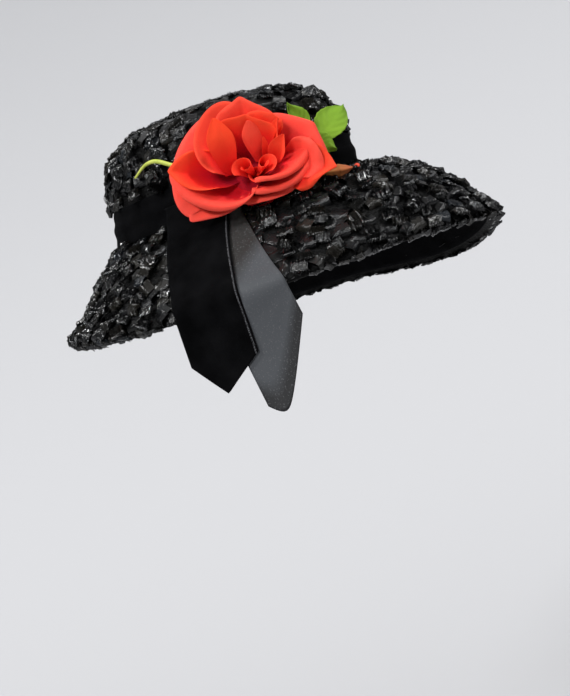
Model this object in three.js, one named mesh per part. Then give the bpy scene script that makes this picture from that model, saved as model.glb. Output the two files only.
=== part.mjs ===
// A wide-brim hat of black cellophane-straw braid. The braid is sewn round and round, so the crown and
// the brim are ribbed by their rows. A velvet ribbon goes round the foot of the crown, two loose ribbon
// tails fall over the brim on the wearer's right, and a large fabric rose with leaves and a bud hides
// where they start. Black velvet faces the underside of the brim.
//
// Millimetres, +Z up. The origin is the middle of the head opening. -Y is the front of the hat and
// -X the wearer's right. Angles round the hat start at the front and grow towards the wearer's right.
// The foot of the crown lies a little below the origin, least so at the back.
import * as THREE from "three";

// Head opening and straw
const HEAD_LENGTH = 195; // front to back, inside the crown at its foot
const HEAD_WIDTH = 151; // side to side, inside the crown at its foot
const CROWN_HEIGHT = 78.5; // from the origin to the middle of the tip
const FOOT_DIP = 9; // how far the foot of the crown lies below the origin, at the front and the sides
const FOOT_DIP_BACK = 4;
const STRAW_WALL = 2.4;
const ROW_RISE = 1.6; // how far each row of braid stands out in its middle
const CROWN_ROWS = 9;
const BRIM_ROWS = 8;

// Brim, measured from the foot of the crown
const BRIM_REACH_FRONT = 89;
const BRIM_REACH_SIDE = 70;
const BRIM_REACH_BACK = 53;
const BRIM_DROP_FRONT = 64;
const BRIM_DROP_SIDE = 68;
const BRIM_DROP_BACK = 56;
const QUARTER_DIP = 12; // how much lower the edge hangs between the front and the wearer's left

// Velvet
const FACING_THICKNESS = 1.0;
const FACING_MARGIN = 5; // bare straw left outside and inside the facing
const BAND_WIDTH = 25;
const BAND_THICKNESS = 1.2;
const BAND_LIFT = 1.5; // from the brim to the lower edge of the band

// Ribbon tails
const TAIL_WIDTH = 50;
const TAIL_THICKNESS = 1.0;
const TAIL_HANG = 87; // how far the longer tail reaches below the brim's edge
const TAIL_LIFT = 5; // the tufts of the braid hold a tail this far off the brim's wall

// Rose, with its own +Z along the flower's axis, +X towards the front of the hat and +Y up the crown
const ROSE_ANGLE = 58;
const ROSE_FOOT = 9; // height at which its neck meets the band, above the foot of the crown
const ROSE_TILT = 12; // how far the flower looks up
const NECK_LENGTH = 14;
const NECK_RADIUS = 5;
const PAD_RADIUS = 21;
const PAD_RIM = 2;
const HEART_RADIUS = 6.5;
const HEART_HEIGHT = 27;
const PETAL_LENGTH = 46; // the outermost petals
const PETAL_THICKNESS = 1.0;
const PETAL_RAMP = 1.3; // how far one side of a petal lies outside the next petal

// Leaves, cut stem and bud, which all start under the rose's pad
const LEAF_REACH = 88; // from the flower's axis to the furthest tip
const LEAF_THICKNESS = 1.0;
const STALK_RADIUS = 1.1;
const STEM_REACH = 84;
const STEM_RADIUS = 1.6;
const BUD_REACH = 72;
const BUD_RADIUS = 4.6;
const BUD_TIP_RADIUS = 2.4;

const GAP = 0.4; // clearance between pieces that lie against each other

// How fine the facets are
const CROWN_FACET_COUNT = 40;
const BRIM_FACET_COUNT = 44;
const BAR_FACET_COUNT = 8;

// A table from the names of its columns and its rows of values.
function table(columns, rows) {
  const names = columns.split(" ");
  return rows.map((row) => Object.fromEntries(names.map((name, i) => [name, row[i]])));
}

// Sections of the crown from its foot to the middle of its tip. "Out" is a share of the half length or
// half width at the foot, and "up" a share of the height.
const CROWN_SECTIONS = table("front_out front_up side_out side_up back_out back_up", [
  [1.0, 0.0, 1.0, 0.0, 1.0, 0.0],
  [1.0, 0.21, 0.985, 0.21, 0.965, 0.21],
  [0.985, 0.42, 0.955, 0.41, 0.915, 0.41],
  [0.945, 0.6, 0.915, 0.6, 0.885, 0.6],
  [0.86, 0.75, 0.84, 0.76, 0.83, 0.765],
  [0.7, 0.87, 0.7, 0.885, 0.7, 0.9],
  [0.47, 0.95, 0.47, 0.96, 0.48, 0.975],
  [0.23, 0.99, 0.23, 0.99, 0.24, 0.995],
  [0.0, 1.0, 0.0, 1.0, 0.0, 1.0],
]);

// Sections of the brim from the foot of the crown to the edge, as shares of the reach and of the drop.
// The front goes out almost level and then rolls down, and the back falls steeply and then flares.
const BRIM_SECTIONS = table("front_out front_drop side_out side_drop back_out back_drop", [
  [0.0, 0.0, 0.0, 0.0, 0.0, 0.0],
  [0.22, 0.05, 0.2, 0.12, 0.11, 0.16],
  [0.42, 0.15, 0.38, 0.27, 0.24, 0.33],
  [0.6, 0.33, 0.55, 0.44, 0.41, 0.51],
  [0.76, 0.55, 0.71, 0.63, 0.6, 0.69],
  [0.89, 0.78, 0.86, 0.82, 0.8, 0.85],
  [1.0, 1.0, 1.0, 1.0, 1.0, 1.0],
]);

// Rings of petals from the heart outwards. "Seat" is where a ring stands, as a share of the pad's radius.
// A petal leans away from the flower's axis by "lean" degrees at its foot, and at its rim by as much as
// the room there lets it: the crown is above the flower and the brim below it. "Spread" is half the angle
// that a petal covers, "roll" turns its rim back, and "length" is a share of the outermost petals'.
const PETAL_RINGS = table("name count turn seat length lean side top bottom spread roll", [
  ["inner", 3, 20, 0.41, 0.63, 2, 24, 16, 6, 74, 25],
  ["middle", 4, 70, 0.58, 0.76, 8, 48, 28, 10, 60, 30],
  ["wide", 5, 10, 0.743, 0.87, 18, 68, 36, 14, 50, 30],
  ["outer", 5, 46, 0.905, 1.0, 30, 84, 42, 16, 50, 20],
]);

// Ribbon tails. "Start" and "edge" are the angles round the hat where a tail's middle leaves the band and
// passes the brim's edge. "Hang" is how far its longest point reaches below that edge, as a share of the
// longer tail's. "Apex" is where across the width that point is, from -1 at the front to 1 at the back.
// "Drift" is how far it has moved towards the front there, "cut" how much shorter the front and back
// corners are and "round" how blunt the point is, all as shares of half the width.
const TAILS = table("name layer start edge hang drift apex cut_front cut_back round", [
  ["satin_tail", 0, 82, 69, 1.0, 0.52, 0.62, 2.35, 0.28, 0.24],
  ["velvet_tail", 1, 85, 81, 0.74, 0.0, 0.16, 0.84, 1.0, 0.0],
]);

// Where each leaf starts, widens and ends, as shares of the reach: along +X, +Y and +Z of the rose.
const LEAVES = table("name turn base_x base_y base_z tip_x tip_y tip_z width", [
  ["leaf_back", 50, 0.5, 0.3, -0.1, 0.435, 0.53, -0.04, 0.14],
  ["leaf_large", 27, 0.55, 0.19, -0.19, 0.89, 0.446, -0.27, 0.25],
  ["leaf_front", 5, 0.53, 0.17, -0.11, 0.7, 0.045, -0.11, 0.15],
]);

// The cut stem and the bud on its stalk, as shares of their reach, from the rose's neck outwards.
const STEM_PATH = table("x y z", [
  [-0.36, 0.2, -0.13],
  [-0.65, 0.385, -0.126],
  [-0.785, 0.49, -0.178],
  [-0.88, 0.51, -0.25],
  [-1.0, 0.458, -0.335],
]);
const BUD_PATH = table("x y z", [
  [0.41, -0.11, -0.08],
  [0.67, -0.165, -0.08],
  [0.825, -0.175, -0.12],
  [0.96, -0.17, -0.17],
]);

// Thickness of the bud from where its stalk starts, as shares of the bud's radius.
const BUD_SECTIONS = table("along radius", [
  [0, 0.24],
  [0.6, 0.24],
  [0.7, 0.7],
  [0.8, 1.0],
  [0.9, 0.6],
  [0.96, 0.24],
  [1, 0.24],
]);

const radians = THREE.MathUtils.degToRad;
const lerp = THREE.MathUtils.lerp;
const UP = new THREE.Vector3(0, 0, 1);

// A column of a table at a share t of the way down it, on a smooth curve through the rows.
function smoothColumn(rows, column, t) {
  const place = t * (rows.length - 1);
  const row = Math.min(Math.floor(place), rows.length - 2);
  const f = place - row;
  const value = (i) => rows[THREE.MathUtils.clamp(i, 0, rows.length - 1)][column];
  const [a, b, c, d] = [value(row - 1), value(row), value(row + 1), value(row + 2)];
  return b + 0.5 * f * (c - a + f * (2 * a - 5 * b + 4 * c - d + f * (3 * (b - c) + d - a)));
}

// Blends a front, a side and a back value smoothly round the hat.
function roundTheHat(angle, front, side, back) {
  const ahead = Math.cos(angle);
  return lerp(side, ahead > 0 ? front : back, ahead * ahead);
}

function profileAt(sections, quantity, t, angle) {
  const value = (where) => smoothColumn(sections, `${where}_${quantity}`, t);
  return roundTheHat(angle, value("front"), value("side"), value("back"));
}

// The straw wall without its ribs: its outer face, from the foot of the crown to the middle of the tip.
function crownSkin(t, angle) {
  const out = profileAt(CROWN_SECTIONS, "out", t, angle);
  const up = profileAt(CROWN_SECTIONS, "up", t, angle);
  const dip = roundTheHat(angle, FOOT_DIP, FOOT_DIP, FOOT_DIP_BACK);
  return new THREE.Vector3(
    -Math.sin(angle) * (HEAD_WIDTH / 2 + STRAW_WALL) * out,
    -Math.cos(angle) * (HEAD_LENGTH / 2 + STRAW_WALL) * out,
    CROWN_HEIGHT * up - dip * (1 - up),
  );
}

// The direction that points straight away from the foot of the crown.
function outwardAt(angle) {
  return new THREE.Vector3(-Math.sin(angle) / HEAD_WIDTH, -Math.cos(angle) / HEAD_LENGTH, 0).normalize();
}

// The upper face of the brim without its ribs, from the foot of the crown to the edge.
function brimSkin(t, angle) {
  const reach = roundTheHat(angle, BRIM_REACH_FRONT, BRIM_REACH_SIDE, BRIM_REACH_BACK);
  const dip = Math.cos(angle) > 0 && Math.sin(angle) < 0 ? QUARTER_DIP * Math.sin(2 * angle) ** 2 : 0;
  const drop = roundTheHat(angle, BRIM_DROP_FRONT, BRIM_DROP_SIDE, BRIM_DROP_BACK) + dip;
  const foot = crownSkin(0, angle);
  const out = reach * profileAt(BRIM_SECTIONS, "out", t, angle);
  foot.addScaledVector(outwardAt(angle), out);
  foot.z -= GAP + drop * profileAt(BRIM_SECTIONS, "drop", t, angle);
  return foot;
}

// A point lifted off a skin along its outer normal, which looks out or up. The ends of the skin use the
// slope beside them.
function lifted(skin, t, angle, lift) {
  const step = 1e-3;
  const near = THREE.MathUtils.clamp(t, step, 1 - 2 * step);
  const along = skin(near + step, angle).sub(skin(near - step, angle));
  const round = skin(near, angle + step).sub(skin(near, angle - step));
  const normal = along.cross(round).normalize();
  if (normal.dot(outwardAt(angle).add(UP)) < 0) normal.negate();
  return skin(t, angle).addScaledVector(normal, lift);
}

// How far the braid stands out at t: nothing where two rows meet and ROW_RISE in the middle of a row.
const ribHeight = (t, rows) => ROW_RISE * Math.abs(Math.sin(Math.PI * rows * t));

// A closed solid between an outer and an inner face. Each face is a function of u and v from 0 to 1.
// With round true the u direction closes on itself, and with pole true v = 1 is a single point.
function solidBetween(outer, inner, uSteps, outerSteps, innerSteps, { round = false, pole = false } = {}) {
  const positions = [];
  const triangles = [];
  const columns = round ? uSteps : uSteps + 1;
  function addFace(face, steps) {
    const rings = [];
    for (let j = 0; j <= steps; j++) {
      const single = pole && j === steps;
      const ring = [];
      for (let i = 0; i < (single ? 1 : columns); i++) {
        ring.push(positions.length / 3);
        positions.push(...face(i / uSteps, j / steps).toArray());
      }
      rings.push(single ? Array(columns).fill(ring[0]) : ring);
    }
    return rings;
  }
  function addQuad(a, b, c, d) {
    for (const corners of [[a, b, c], [a, c, d]]) {
      if (new Set(corners).size === 3) triangles.push(...corners);
    }
  }
  const next = (i) => (round ? (i + 1) % uSteps : i + 1);
  const outside = addFace(outer, outerSteps);
  const inside = addFace(inner, innerSteps);
  for (const [rings, flip] of [[outside, false], [inside, true]]) {
    for (let j = 0; j + 1 < rings.length; j++) {
      for (let i = 0; i < uSteps; i++) {
        const quad = [rings[j][i], rings[j][next(i)], rings[j + 1][next(i)], rings[j + 1][i]];
        addQuad(...(flip ? quad.reverse() : quad));
      }
    }
  }
  for (let i = 0; i < uSteps; i++) {
    addQuad(inside[0][i], inside[0][next(i)], outside[0][next(i)], outside[0][i]);
    if (!pole) {
      const [o, n] = [outside[outerSteps], inside[innerSteps]];
      addQuad(o[i], o[next(i)], n[next(i)], n[i]);
    }
  }
  if (!round) {
    for (let j = 0; j < outerSteps; j++) {
      addQuad(inside[j][0], outside[j][0], outside[j + 1][0], inside[j + 1][0]);
      addQuad(outside[j][uSteps], inside[j][uSteps], inside[j + 1][uSteps], outside[j + 1][uSteps]);
    }
  }
  return closedGeometry(positions, triangles);
}

// A geometry whose faces point out, whichever way round they were listed.
function closedGeometry(positions, triangles) {
  const corner = (i) => new THREE.Vector3().fromArray(positions, 3 * triangles[i]);
  let volume = 0;
  for (let i = 0; i < triangles.length; i += 3) {
    volume += corner(i).dot(corner(i + 1).cross(corner(i + 2)));
  }
  const index = volume < 0 ? triangles.reverse() : triangles;
  const geometry = new THREE.BufferGeometry();
  geometry.setAttribute("position", new THREE.Float32BufferAttribute(positions, 3));
  geometry.setIndex(index);
  return geometry;
}

// A sheet of even thickness about a middle face given as a function of u and v.
function sheetSolid(middle, thickness, uSteps, vSteps) {
  const step = 0.02;
  function side(u, v, offset) {
    const nearU = THREE.MathUtils.clamp(u, step, 1 - step);
    const nearV = THREE.MathUtils.clamp(v, step, 1 - step);
    const across = middle(nearU + step, nearV).sub(middle(nearU - step, nearV));
    const along = middle(nearU, nearV + step).sub(middle(nearU, nearV - step));
    return middle(u, v).addScaledVector(across.cross(along).normalize(), offset);
  }
  const outer = (u, v) => side(u, v, thickness / 2);
  const inner = (u, v) => side(u, v, -thickness / 2);
  return solidBetween(outer, inner, uSteps, vSteps, vSteps);
}

// A round bar along a curve, whose radius is a function of the share along it.
function barSolid(curve, radiusAt, steps) {
  const frames = curve.computeFrenetFrames(steps, false);
  const positions = [];
  const triangles = [];
  for (let j = 0; j <= steps; j++) {
    for (let i = 0; i < BAR_FACET_COUNT; i++) {
      const turn = (2 * Math.PI * i) / BAR_FACET_COUNT;
      const point = curve.getPointAt(j / steps);
      point.addScaledVector(frames.normals[j], radiusAt(j / steps) * Math.cos(turn));
      point.addScaledVector(frames.binormals[j], radiusAt(j / steps) * Math.sin(turn));
      positions.push(...point.toArray());
    }
  }
  const at = (j, i) => j * BAR_FACET_COUNT + (i % BAR_FACET_COUNT);
  for (let j = 0; j < steps; j++) {
    for (let i = 0; i < BAR_FACET_COUNT; i++) {
      triangles.push(at(j, i), at(j, i + 1), at(j + 1, i + 1), at(j, i), at(j + 1, i + 1), at(j + 1, i));
    }
  }
  for (let i = 1; i + 1 < BAR_FACET_COUNT; i++) {
    triangles.push(at(0, 0), at(0, i + 1), at(0, i), at(steps, 0), at(steps, i), at(steps, i + 1));
  }
  return closedGeometry(positions, triangles);
}

const materials = {
  straw: new THREE.MeshStandardMaterial({ color: 0x17181a, roughness: 0.35, metalness: 0 }),
  velvet: new THREE.MeshStandardMaterial({ color: 0x060607, roughness: 0.95, metalness: 0 }),
  satin: new THREE.MeshStandardMaterial({ color: 0x3b3f45, roughness: 0.55, metalness: 0 }),
  petal: new THREE.MeshStandardMaterial({ color: 0xf0402e, roughness: 0.75, metalness: 0 }),
  leaf: new THREE.MeshStandardMaterial({ color: 0x8fb82e, roughness: 0.6, metalness: 0 }),
  stem: new THREE.MeshStandardMaterial({ color: 0xb4c23a, roughness: 0.5, metalness: 0 }),
  calyx: new THREE.MeshStandardMaterial({ color: 0x9a7344, roughness: 0.7, metalness: 0 }),
};

const hat = new THREE.Group();

function addPiece(parent, name, geometry, material) {
  const mesh = new THREE.Mesh(geometry, material);
  mesh.name = name;
  parent.add(mesh);
  return mesh;
}

const fullTurn = (u) => 2 * Math.PI * u;

function makeCrown() {
  const outer = (u, v) => lifted(crownSkin, v, fullTurn(u), ribHeight(v, CROWN_ROWS));
  const inner = (u, v) => lifted(crownSkin, v, fullTurn(u), -STRAW_WALL);
  const ends = { round: true, pole: true };
  const solid = solidBetween(outer, inner, CROWN_FACET_COUNT, 2 * CROWN_ROWS, CROWN_ROWS, ends);
  addPiece(hat, "crown", solid, materials.straw);
}

// Where the facing is along the brim, and the rings of the brim's inner face: its two ends and the rings
// that it shares with the facing, so that the two lie facet on facet.
const FACING_ROWS = BRIM_ROWS - 2;
const facingMargin = FACING_MARGIN / BRIM_REACH_SIDE;
const facingShare = (v) => lerp(facingMargin, 1 - facingMargin, v);
const innerShare = (v) => THREE.MathUtils.clamp(facingShare((v * BRIM_ROWS - 1) / FACING_ROWS), 0, 1);

function makeBrim() {
  const outer = (u, v) => lifted(brimSkin, v, fullTurn(u), ribHeight(v, BRIM_ROWS));
  const inner = (u, v) => lifted(brimSkin, innerShare(v), fullTurn(u), -STRAW_WALL);
  const solid = solidBetween(outer, inner, BRIM_FACET_COUNT, 2 * BRIM_ROWS, BRIM_ROWS, { round: true });
  addPiece(hat, "brim", solid, materials.straw);
}

function makeFacing() {
  const top = STRAW_WALL + GAP;
  const face = (offset) => (u, v) => lifted(brimSkin, facingShare(v), fullTurn(u), -offset);
  const [outer, inner] = [face(top), face(top + FACING_THICKNESS)];
  const solid = solidBetween(outer, inner, BRIM_FACET_COUNT, FACING_ROWS, FACING_ROWS, { round: true });
  addPiece(hat, "brim_facing", solid, materials.velvet);
}

// The share along the crown's skin at which its side reaches a height.
function crownShareAt(height) {
  let [low, high] = [0, 1];
  while (high - low > 1e-6) {
    const middle = (low + high) / 2;
    if (CROWN_HEIGHT * smoothColumn(CROWN_SECTIONS, "side_up", middle) < height) low = middle;
    else high = middle;
  }
  return low;
}

const bandInside = ROW_RISE + GAP;
const bandOutside = bandInside + BAND_THICKNESS;

function makeBand() {
  const from = crownShareAt(BAND_LIFT);
  const to = crownShareAt(BAND_LIFT + BAND_WIDTH);
  const face = (offset) => (u, v) => lifted(crownSkin, lerp(from, to, v), fullTurn(u), offset);
  const solid = solidBetween(face(bandOutside), face(bandInside), CROWN_FACET_COUNT, 3, 3, { round: true });
  addPiece(hat, "hat_band", solid, materials.velvet);
}

// A ribbon that starts on the band, lies over the brim and hangs off its edge.
function makeTail(material, tail) {
  const { name, layer, start, edge, hang, drift, apex, cut_front, cut_back, round } = tail;
  const half = TAIL_WIDTH / 2;
  const lift = TAIL_LIFT + layer * (TAIL_THICKNESS + 3 * GAP);
  const bandLift = bandOutside + GAP + TAIL_THICKNESS / 2 + layer * (TAIL_THICKNESS + 3 * GAP);
  const angleAt = (t) => radians(lerp(start, edge, t));
  function onSkin(skin, t, along, offset, across) {
    const speed = skin(t, along + 0.01).distanceTo(skin(t, along - 0.01)) / 0.02;
    return lifted(skin, t, along + (across * half) / speed, offset);
  }
  // How much shorter than its longest point the ribbon is at a place across its width.
  function cutAt(across) {
    const [corner, cut] = across < apex ? [1 + apex, cut_front] : [1 - apex, cut_back];
    const blunt = (x) => Math.hypot(x, round) - round;
    return (half * cut * blunt(across - apex)) / blunt(corner);
  }
  function lineAt(across) {
    const brim = (t) => onSkin(brimSkin, t, angleAt(t), lift, across);
    const drop = TAIL_HANG * hang - cutAt(across);
    const sideways = (half * drift) / (TAIL_HANG * hang);
    const fall = outwardAt(angleAt(1)).cross(UP).multiplyScalar(-sideways).sub(UP);
    const last = brim(0.98);
    const below = (share) => last.clone().addScaledVector(fall, drop * share);
    const band = onSkin(crownSkin, crownShareAt(BAND_LIFT + BAND_WIDTH / 2), angleAt(0), bandLift, across);
    const onBrim = [0.22, 0.42, 0.62, 0.82].map(brim);
    const points = [band, ...onBrim, last, below(0.3), below(0.65), below(1)];
    return new THREE.CatmullRomCurve3(points, false, "centripetal");
  }
  const lines = new Map();
  const middle = (u, v) => {
    const across = 2 * u - 1;
    if (!lines.has(across)) lines.set(across, lineAt(across));
    return lines.get(across).getPointAt(v);
  };
  addPiece(hat, name, sheetSolid(middle, TAIL_THICKNESS, 6, 22), material);
}

// How far a petal leans at its rim, by its direction round the flower: 0 is level, 90 is up the crown.
function rimLean(ring, direction) {
  const level = Math.cos(direction) ** 2;
  return lerp(Math.sin(direction) > 0 ? ring.top : ring.bottom, ring.side, level);
}

// A point of a ring's surface at a share v of the petal's length, moved out by lift.
function ringPoint(ring, direction, v, lift) {
  const steps = 12;
  const rim = rimLean(ring, direction);
  const leanAt = (share) => radians(lerp(ring.lean, rim, share) + ring.roll * Math.max(0, share - 0.75) * 4);
  const seatLift = GAP + (PETAL_RAMP + PETAL_THICKNESS / 2) * Math.sin(radians(ring.lean));
  let [radius, height] = [PAD_RADIUS * ring.seat, seatLift];
  for (let i = 0; i < steps; i++) {
    const lean = leanAt((v * (i + 0.5)) / steps);
    radius += (Math.sin(lean) * v * PETAL_LENGTH * ring.length) / steps;
    height += (Math.cos(lean) * v * PETAL_LENGTH * ring.length) / steps;
  }
  const lean = leanAt(v);
  radius += lift * Math.cos(lean);
  height -= lift * Math.sin(lean);
  return new THREE.Vector3(radius * Math.cos(direction), radius * Math.sin(direction), height);
}

// Half the width of a petal at v, as a share of its widest: a narrow foot, a wide blade, a round rim.
function petalOutline(v) {
  const [foot, widest] = [0.5, 0.62];
  if (v < widest) return lerp(foot, 1, Math.sin((Math.PI / 2) * (v / widest)));
  return Math.sqrt(1 - ((v - widest) / (1.03 - widest)) ** 2);
}

function makePetal(rose, ring, number) {
  const heading = radians(ring.turn + (360 * number) / ring.count);
  const middle = (u, v) => {
    const across = 2 * u - 1;
    const direction = heading + across * radians(ring.spread) * petalOutline(v);
    return ringPoint(ring, direction, v, across * PETAL_RAMP);
  };
  const solid = sheetSolid(middle, PETAL_THICKNESS, 5, 6);
  addPiece(rose, `petal_${ring.name}_${number + 1}`, solid, materials.petal);
}

function makeRose() {
  const rose = new THREE.Group();
  const angle = radians(ROSE_ANGLE);
  const tilt = radians(ROSE_TILT);
  const outward = outwardAt(angle);
  const axis = outward.clone().multiplyScalar(Math.cos(tilt)).addScaledVector(UP, Math.sin(tilt));
  const upCrown = outward.clone().multiplyScalar(-Math.sin(tilt)).addScaledVector(UP, Math.cos(tilt));
  const level = upCrown.clone().cross(axis);
  const standOff = GAP + NECK_LENGTH * Math.cos(tilt) + NECK_RADIUS * Math.sin(tilt);
  rose.quaternion.setFromRotationMatrix(new THREE.Matrix4().makeBasis(level, upCrown, axis));
  rose.position.copy(lifted(crownSkin, crownShareAt(ROSE_FOOT), angle, bandOutside));
  rose.position.addScaledVector(outward, standOff).addScaledVector(UP, NECK_LENGTH * Math.sin(tilt));
  hat.add(rose);

  const profile = [
    [0, -NECK_LENGTH],
    [NECK_RADIUS, -NECK_LENGTH],
    [PAD_RADIUS, -PAD_RIM],
    [PAD_RADIUS, 0],
    [0, 0],
  ].map(([radius, height]) => new THREE.Vector2(radius, height));
  const neck = new THREE.LatheGeometry(profile, 2 * BAR_FACET_COUNT).rotateX(Math.PI / 2);
  addPiece(rose, "rose_neck", neck, materials.stem);

  const bud = [
    [0, GAP],
    [HEART_RADIUS * 0.7, GAP],
    [HEART_RADIUS, HEART_HEIGHT * 0.45],
    [HEART_RADIUS * 0.8, HEART_HEIGHT * 0.8],
    [HEART_RADIUS * 0.45, HEART_HEIGHT],
    [0, HEART_HEIGHT * 0.9],
  ].map(([radius, height]) => new THREE.Vector2(radius, height));
  addPiece(rose, "rose_heart", new THREE.LatheGeometry(bud, 12).rotateX(Math.PI / 2), materials.petal);

  for (const ring of PETAL_RINGS) {
    for (let number = 0; number < ring.count; number++) makePetal(rose, ring, number);
  }
  return rose;
}

// Where something starts that leaves the rose under its pad, a little off the neck's cone.
function underPad(turn, clearance) {
  const share = 0.3;
  const radius = lerp(NECK_RADIUS, PAD_RADIUS, share);
  const height = lerp(-NECK_LENGTH, -PAD_RIM, share);
  const slope = Math.atan2(PAD_RADIUS - NECK_RADIUS, NECK_LENGTH - PAD_RIM);
  const out = radius + clearance * Math.cos(slope);
  return new THREE.Vector3(out * Math.cos(turn), out * Math.sin(turn), height - clearance * Math.sin(slope));
}

function pathFrom(start, rows, reach) {
  const points = rows.map((row) => new THREE.Vector3(row.x, row.y, row.z).multiplyScalar(reach));
  return new THREE.CatmullRomCurve3([start, ...points], false, "centripetal");
}

// A leaf on its stalk: one thin blade, narrow for the stalk's length and folded a little along its middle.
function makeLeaf(rose, { name, turn, base_x, base_y, base_z, tip_x, tip_y, tip_z, width }) {
  const start = underPad(radians(turn), GAP + LEAF_THICKNESS);
  const [base, tip] = [{ x: base_x, y: base_y, z: base_z }, { x: tip_x, y: tip_y, z: tip_z }];
  const rib = pathFrom(start, [base, tip], LEAF_REACH);
  const share = rib.points[0].distanceTo(rib.points[1]) / rib.getLength();
  const middle = (u, v) => {
    const across = 2 * u - 1;
    const blade = Math.max(0, (v - share) / (1 - share));
    const outline = Math.max(0, Math.sin(Math.PI * blade ** 1.2)) ** 0.75;
    const half = STALK_RADIUS + ((width * LEAF_REACH) / 2) * outline;
    const side = rib.getTangentAt(v).cross(UP).normalize();
    const point = rib.getPointAt(v).addScaledVector(side, across * half);
    point.z += 0.2 * (half - STALK_RADIUS) * Math.abs(across);
    return point;
  };
  addPiece(rose, name, sheetSolid(middle, LEAF_THICKNESS, 4, 10), materials.leaf);
}

// A column of a table at a place along it, on straight lines between its rows.
function valueAlong(rows, along, column) {
  const next = Math.max(1, rows.findIndex((row) => row.along >= along));
  const [a, b] = [rows[next - 1], rows[next]];
  return lerp(a[column], b[column], (along - a.along) / (b.along - a.along));
}

function makeSprig(rose) {
  for (const leaf of LEAVES) makeLeaf(rose, leaf);

  const stem = pathFrom(underPad(radians(150), GAP + STEM_RADIUS), STEM_PATH, STEM_REACH);
  const taper = (t) => STEM_RADIUS * (1 - (0.5 * Math.max(0, t - 0.75)) / 0.25);
  addPiece(rose, "stem", barSolid(stem, taper, 14), materials.stem);

  const bud = pathFrom(underPad(radians(-20), GAP + STALK_RADIUS), BUD_PATH, BUD_REACH);
  const swelling = (t) => BUD_RADIUS * valueAlong(BUD_SECTIONS, t, "radius");
  addPiece(rose, "bud", barSolid(bud, swelling, 15), materials.calyx);
  const tip = addPiece(rose, "bud_tip", new THREE.SphereGeometry(BUD_TIP_RADIUS, 8, 6), materials.petal);
  tip.position.copy(bud.getPointAt(1)).addScaledVector(bud.getTangentAt(1), BUD_TIP_RADIUS + GAP);
}

makeCrown();
makeBrim();
makeFacing();
makeBand();
makeTail(materials.satin, TAILS[0]);
makeTail(materials.velvet, TAILS[1]);
makeSprig(makeRose());

export default hat;
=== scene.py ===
# %% [markdown]
# # A wide-brim hat of cellophane-straw braid, with a velvet ribbon and a cloth rose
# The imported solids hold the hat's true sizes. This lesson dresses them: the straw gets its folded tabs
# and crimped tufts, the ribbon its velvet and satin, and the rose its curled petals. Each markdown cell
# says what a piece is on the real hat, how it could be made, and why this way was chosen.

import math
import random
from types import SimpleNamespace

import bpy
import bmesh
import numpy as np
from mathutils import Matrix, Vector


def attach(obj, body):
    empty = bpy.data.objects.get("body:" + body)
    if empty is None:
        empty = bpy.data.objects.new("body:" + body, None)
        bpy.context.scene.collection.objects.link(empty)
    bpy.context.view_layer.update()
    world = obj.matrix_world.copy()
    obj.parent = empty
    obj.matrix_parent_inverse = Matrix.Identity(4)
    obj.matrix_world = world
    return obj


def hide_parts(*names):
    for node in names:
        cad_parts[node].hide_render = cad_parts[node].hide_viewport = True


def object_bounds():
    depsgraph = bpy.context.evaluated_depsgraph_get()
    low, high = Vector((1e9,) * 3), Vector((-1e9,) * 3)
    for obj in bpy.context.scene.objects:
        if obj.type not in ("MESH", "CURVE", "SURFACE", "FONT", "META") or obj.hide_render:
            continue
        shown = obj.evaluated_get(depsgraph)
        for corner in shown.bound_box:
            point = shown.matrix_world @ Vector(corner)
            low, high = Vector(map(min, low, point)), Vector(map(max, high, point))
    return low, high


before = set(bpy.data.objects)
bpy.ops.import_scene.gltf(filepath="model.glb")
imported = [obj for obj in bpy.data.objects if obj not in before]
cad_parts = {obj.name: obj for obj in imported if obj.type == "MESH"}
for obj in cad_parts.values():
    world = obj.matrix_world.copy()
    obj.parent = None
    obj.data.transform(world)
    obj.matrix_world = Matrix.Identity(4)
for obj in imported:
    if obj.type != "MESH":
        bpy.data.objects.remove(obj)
cad_low, cad_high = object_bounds()
print("the solids fill", [round(high - low, 3) for low, high in zip(cad_low, cad_high)], "metres")

# %% [markdown]
# ## Camera
# The photograph looks at the wearer's right side, a little from the front and a little from below, and
# the hat sits tilted back. Moving the hat would break the shared frame, so the camera is rolled instead:
# its place, its level direction, its pitch and its roll were found by laying the solids over the picture.

# %% Camera
CAMERA_PLACE = Vector((-1.1778, -0.5494, -0.132))
CAMERA_HEADING = 65  # degrees from the front of the hat towards the wearer's right
CAMERA_PITCH = 0.65
CAMERA_ROLL = 18.7
CAMERA_LENS = 86.74  # millimetres, on a 36 mm sensor along the picture's long side

heading = math.radians(CAMERA_HEADING)
pitch = math.radians(CAMERA_PITCH)
roll = math.radians(CAMERA_ROLL)
towards_camera = Vector((-math.sin(heading), -math.cos(heading), 0))
level_right = Vector((math.cos(heading), -math.sin(heading), 0))
view_up = Vector((0, 0, math.cos(pitch))) + towards_camera * math.sin(pitch)
view_back = level_right.cross(view_up)
picture_right = level_right * math.cos(roll) - view_up * math.sin(roll)
picture_up = level_right * math.sin(roll) + view_up * math.cos(roll)

bpy.ops.object.camera_add(location=CAMERA_PLACE)
camera = bpy.context.object
camera.rotation_euler = Matrix((picture_right, picture_up, view_back)).transposed().to_euler()
camera.data.lens = CAMERA_LENS
camera.data.sensor_width = 36
bpy.context.scene.camera = camera
hat_middle = (cad_low + cad_high) / 2
print("camera", round((CAMERA_PLACE - hat_middle).length, 2), "metres from the middle of the hat")

# %% [markdown]
# ## Studio
# A pale floor that curves up into a backdrop has no line where they meet. It could be a bent plane with a
# bevelled corner; extruding the far edge upwards and bevelling the fold does just that. The light is soft
# and comes from far off, so floor and backdrop are lit alike: broad suns do this. Black straw shows only
# what it reflects, so a broad sun greys the flat tabs, and a narrow one puts glints on the crimps.

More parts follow.
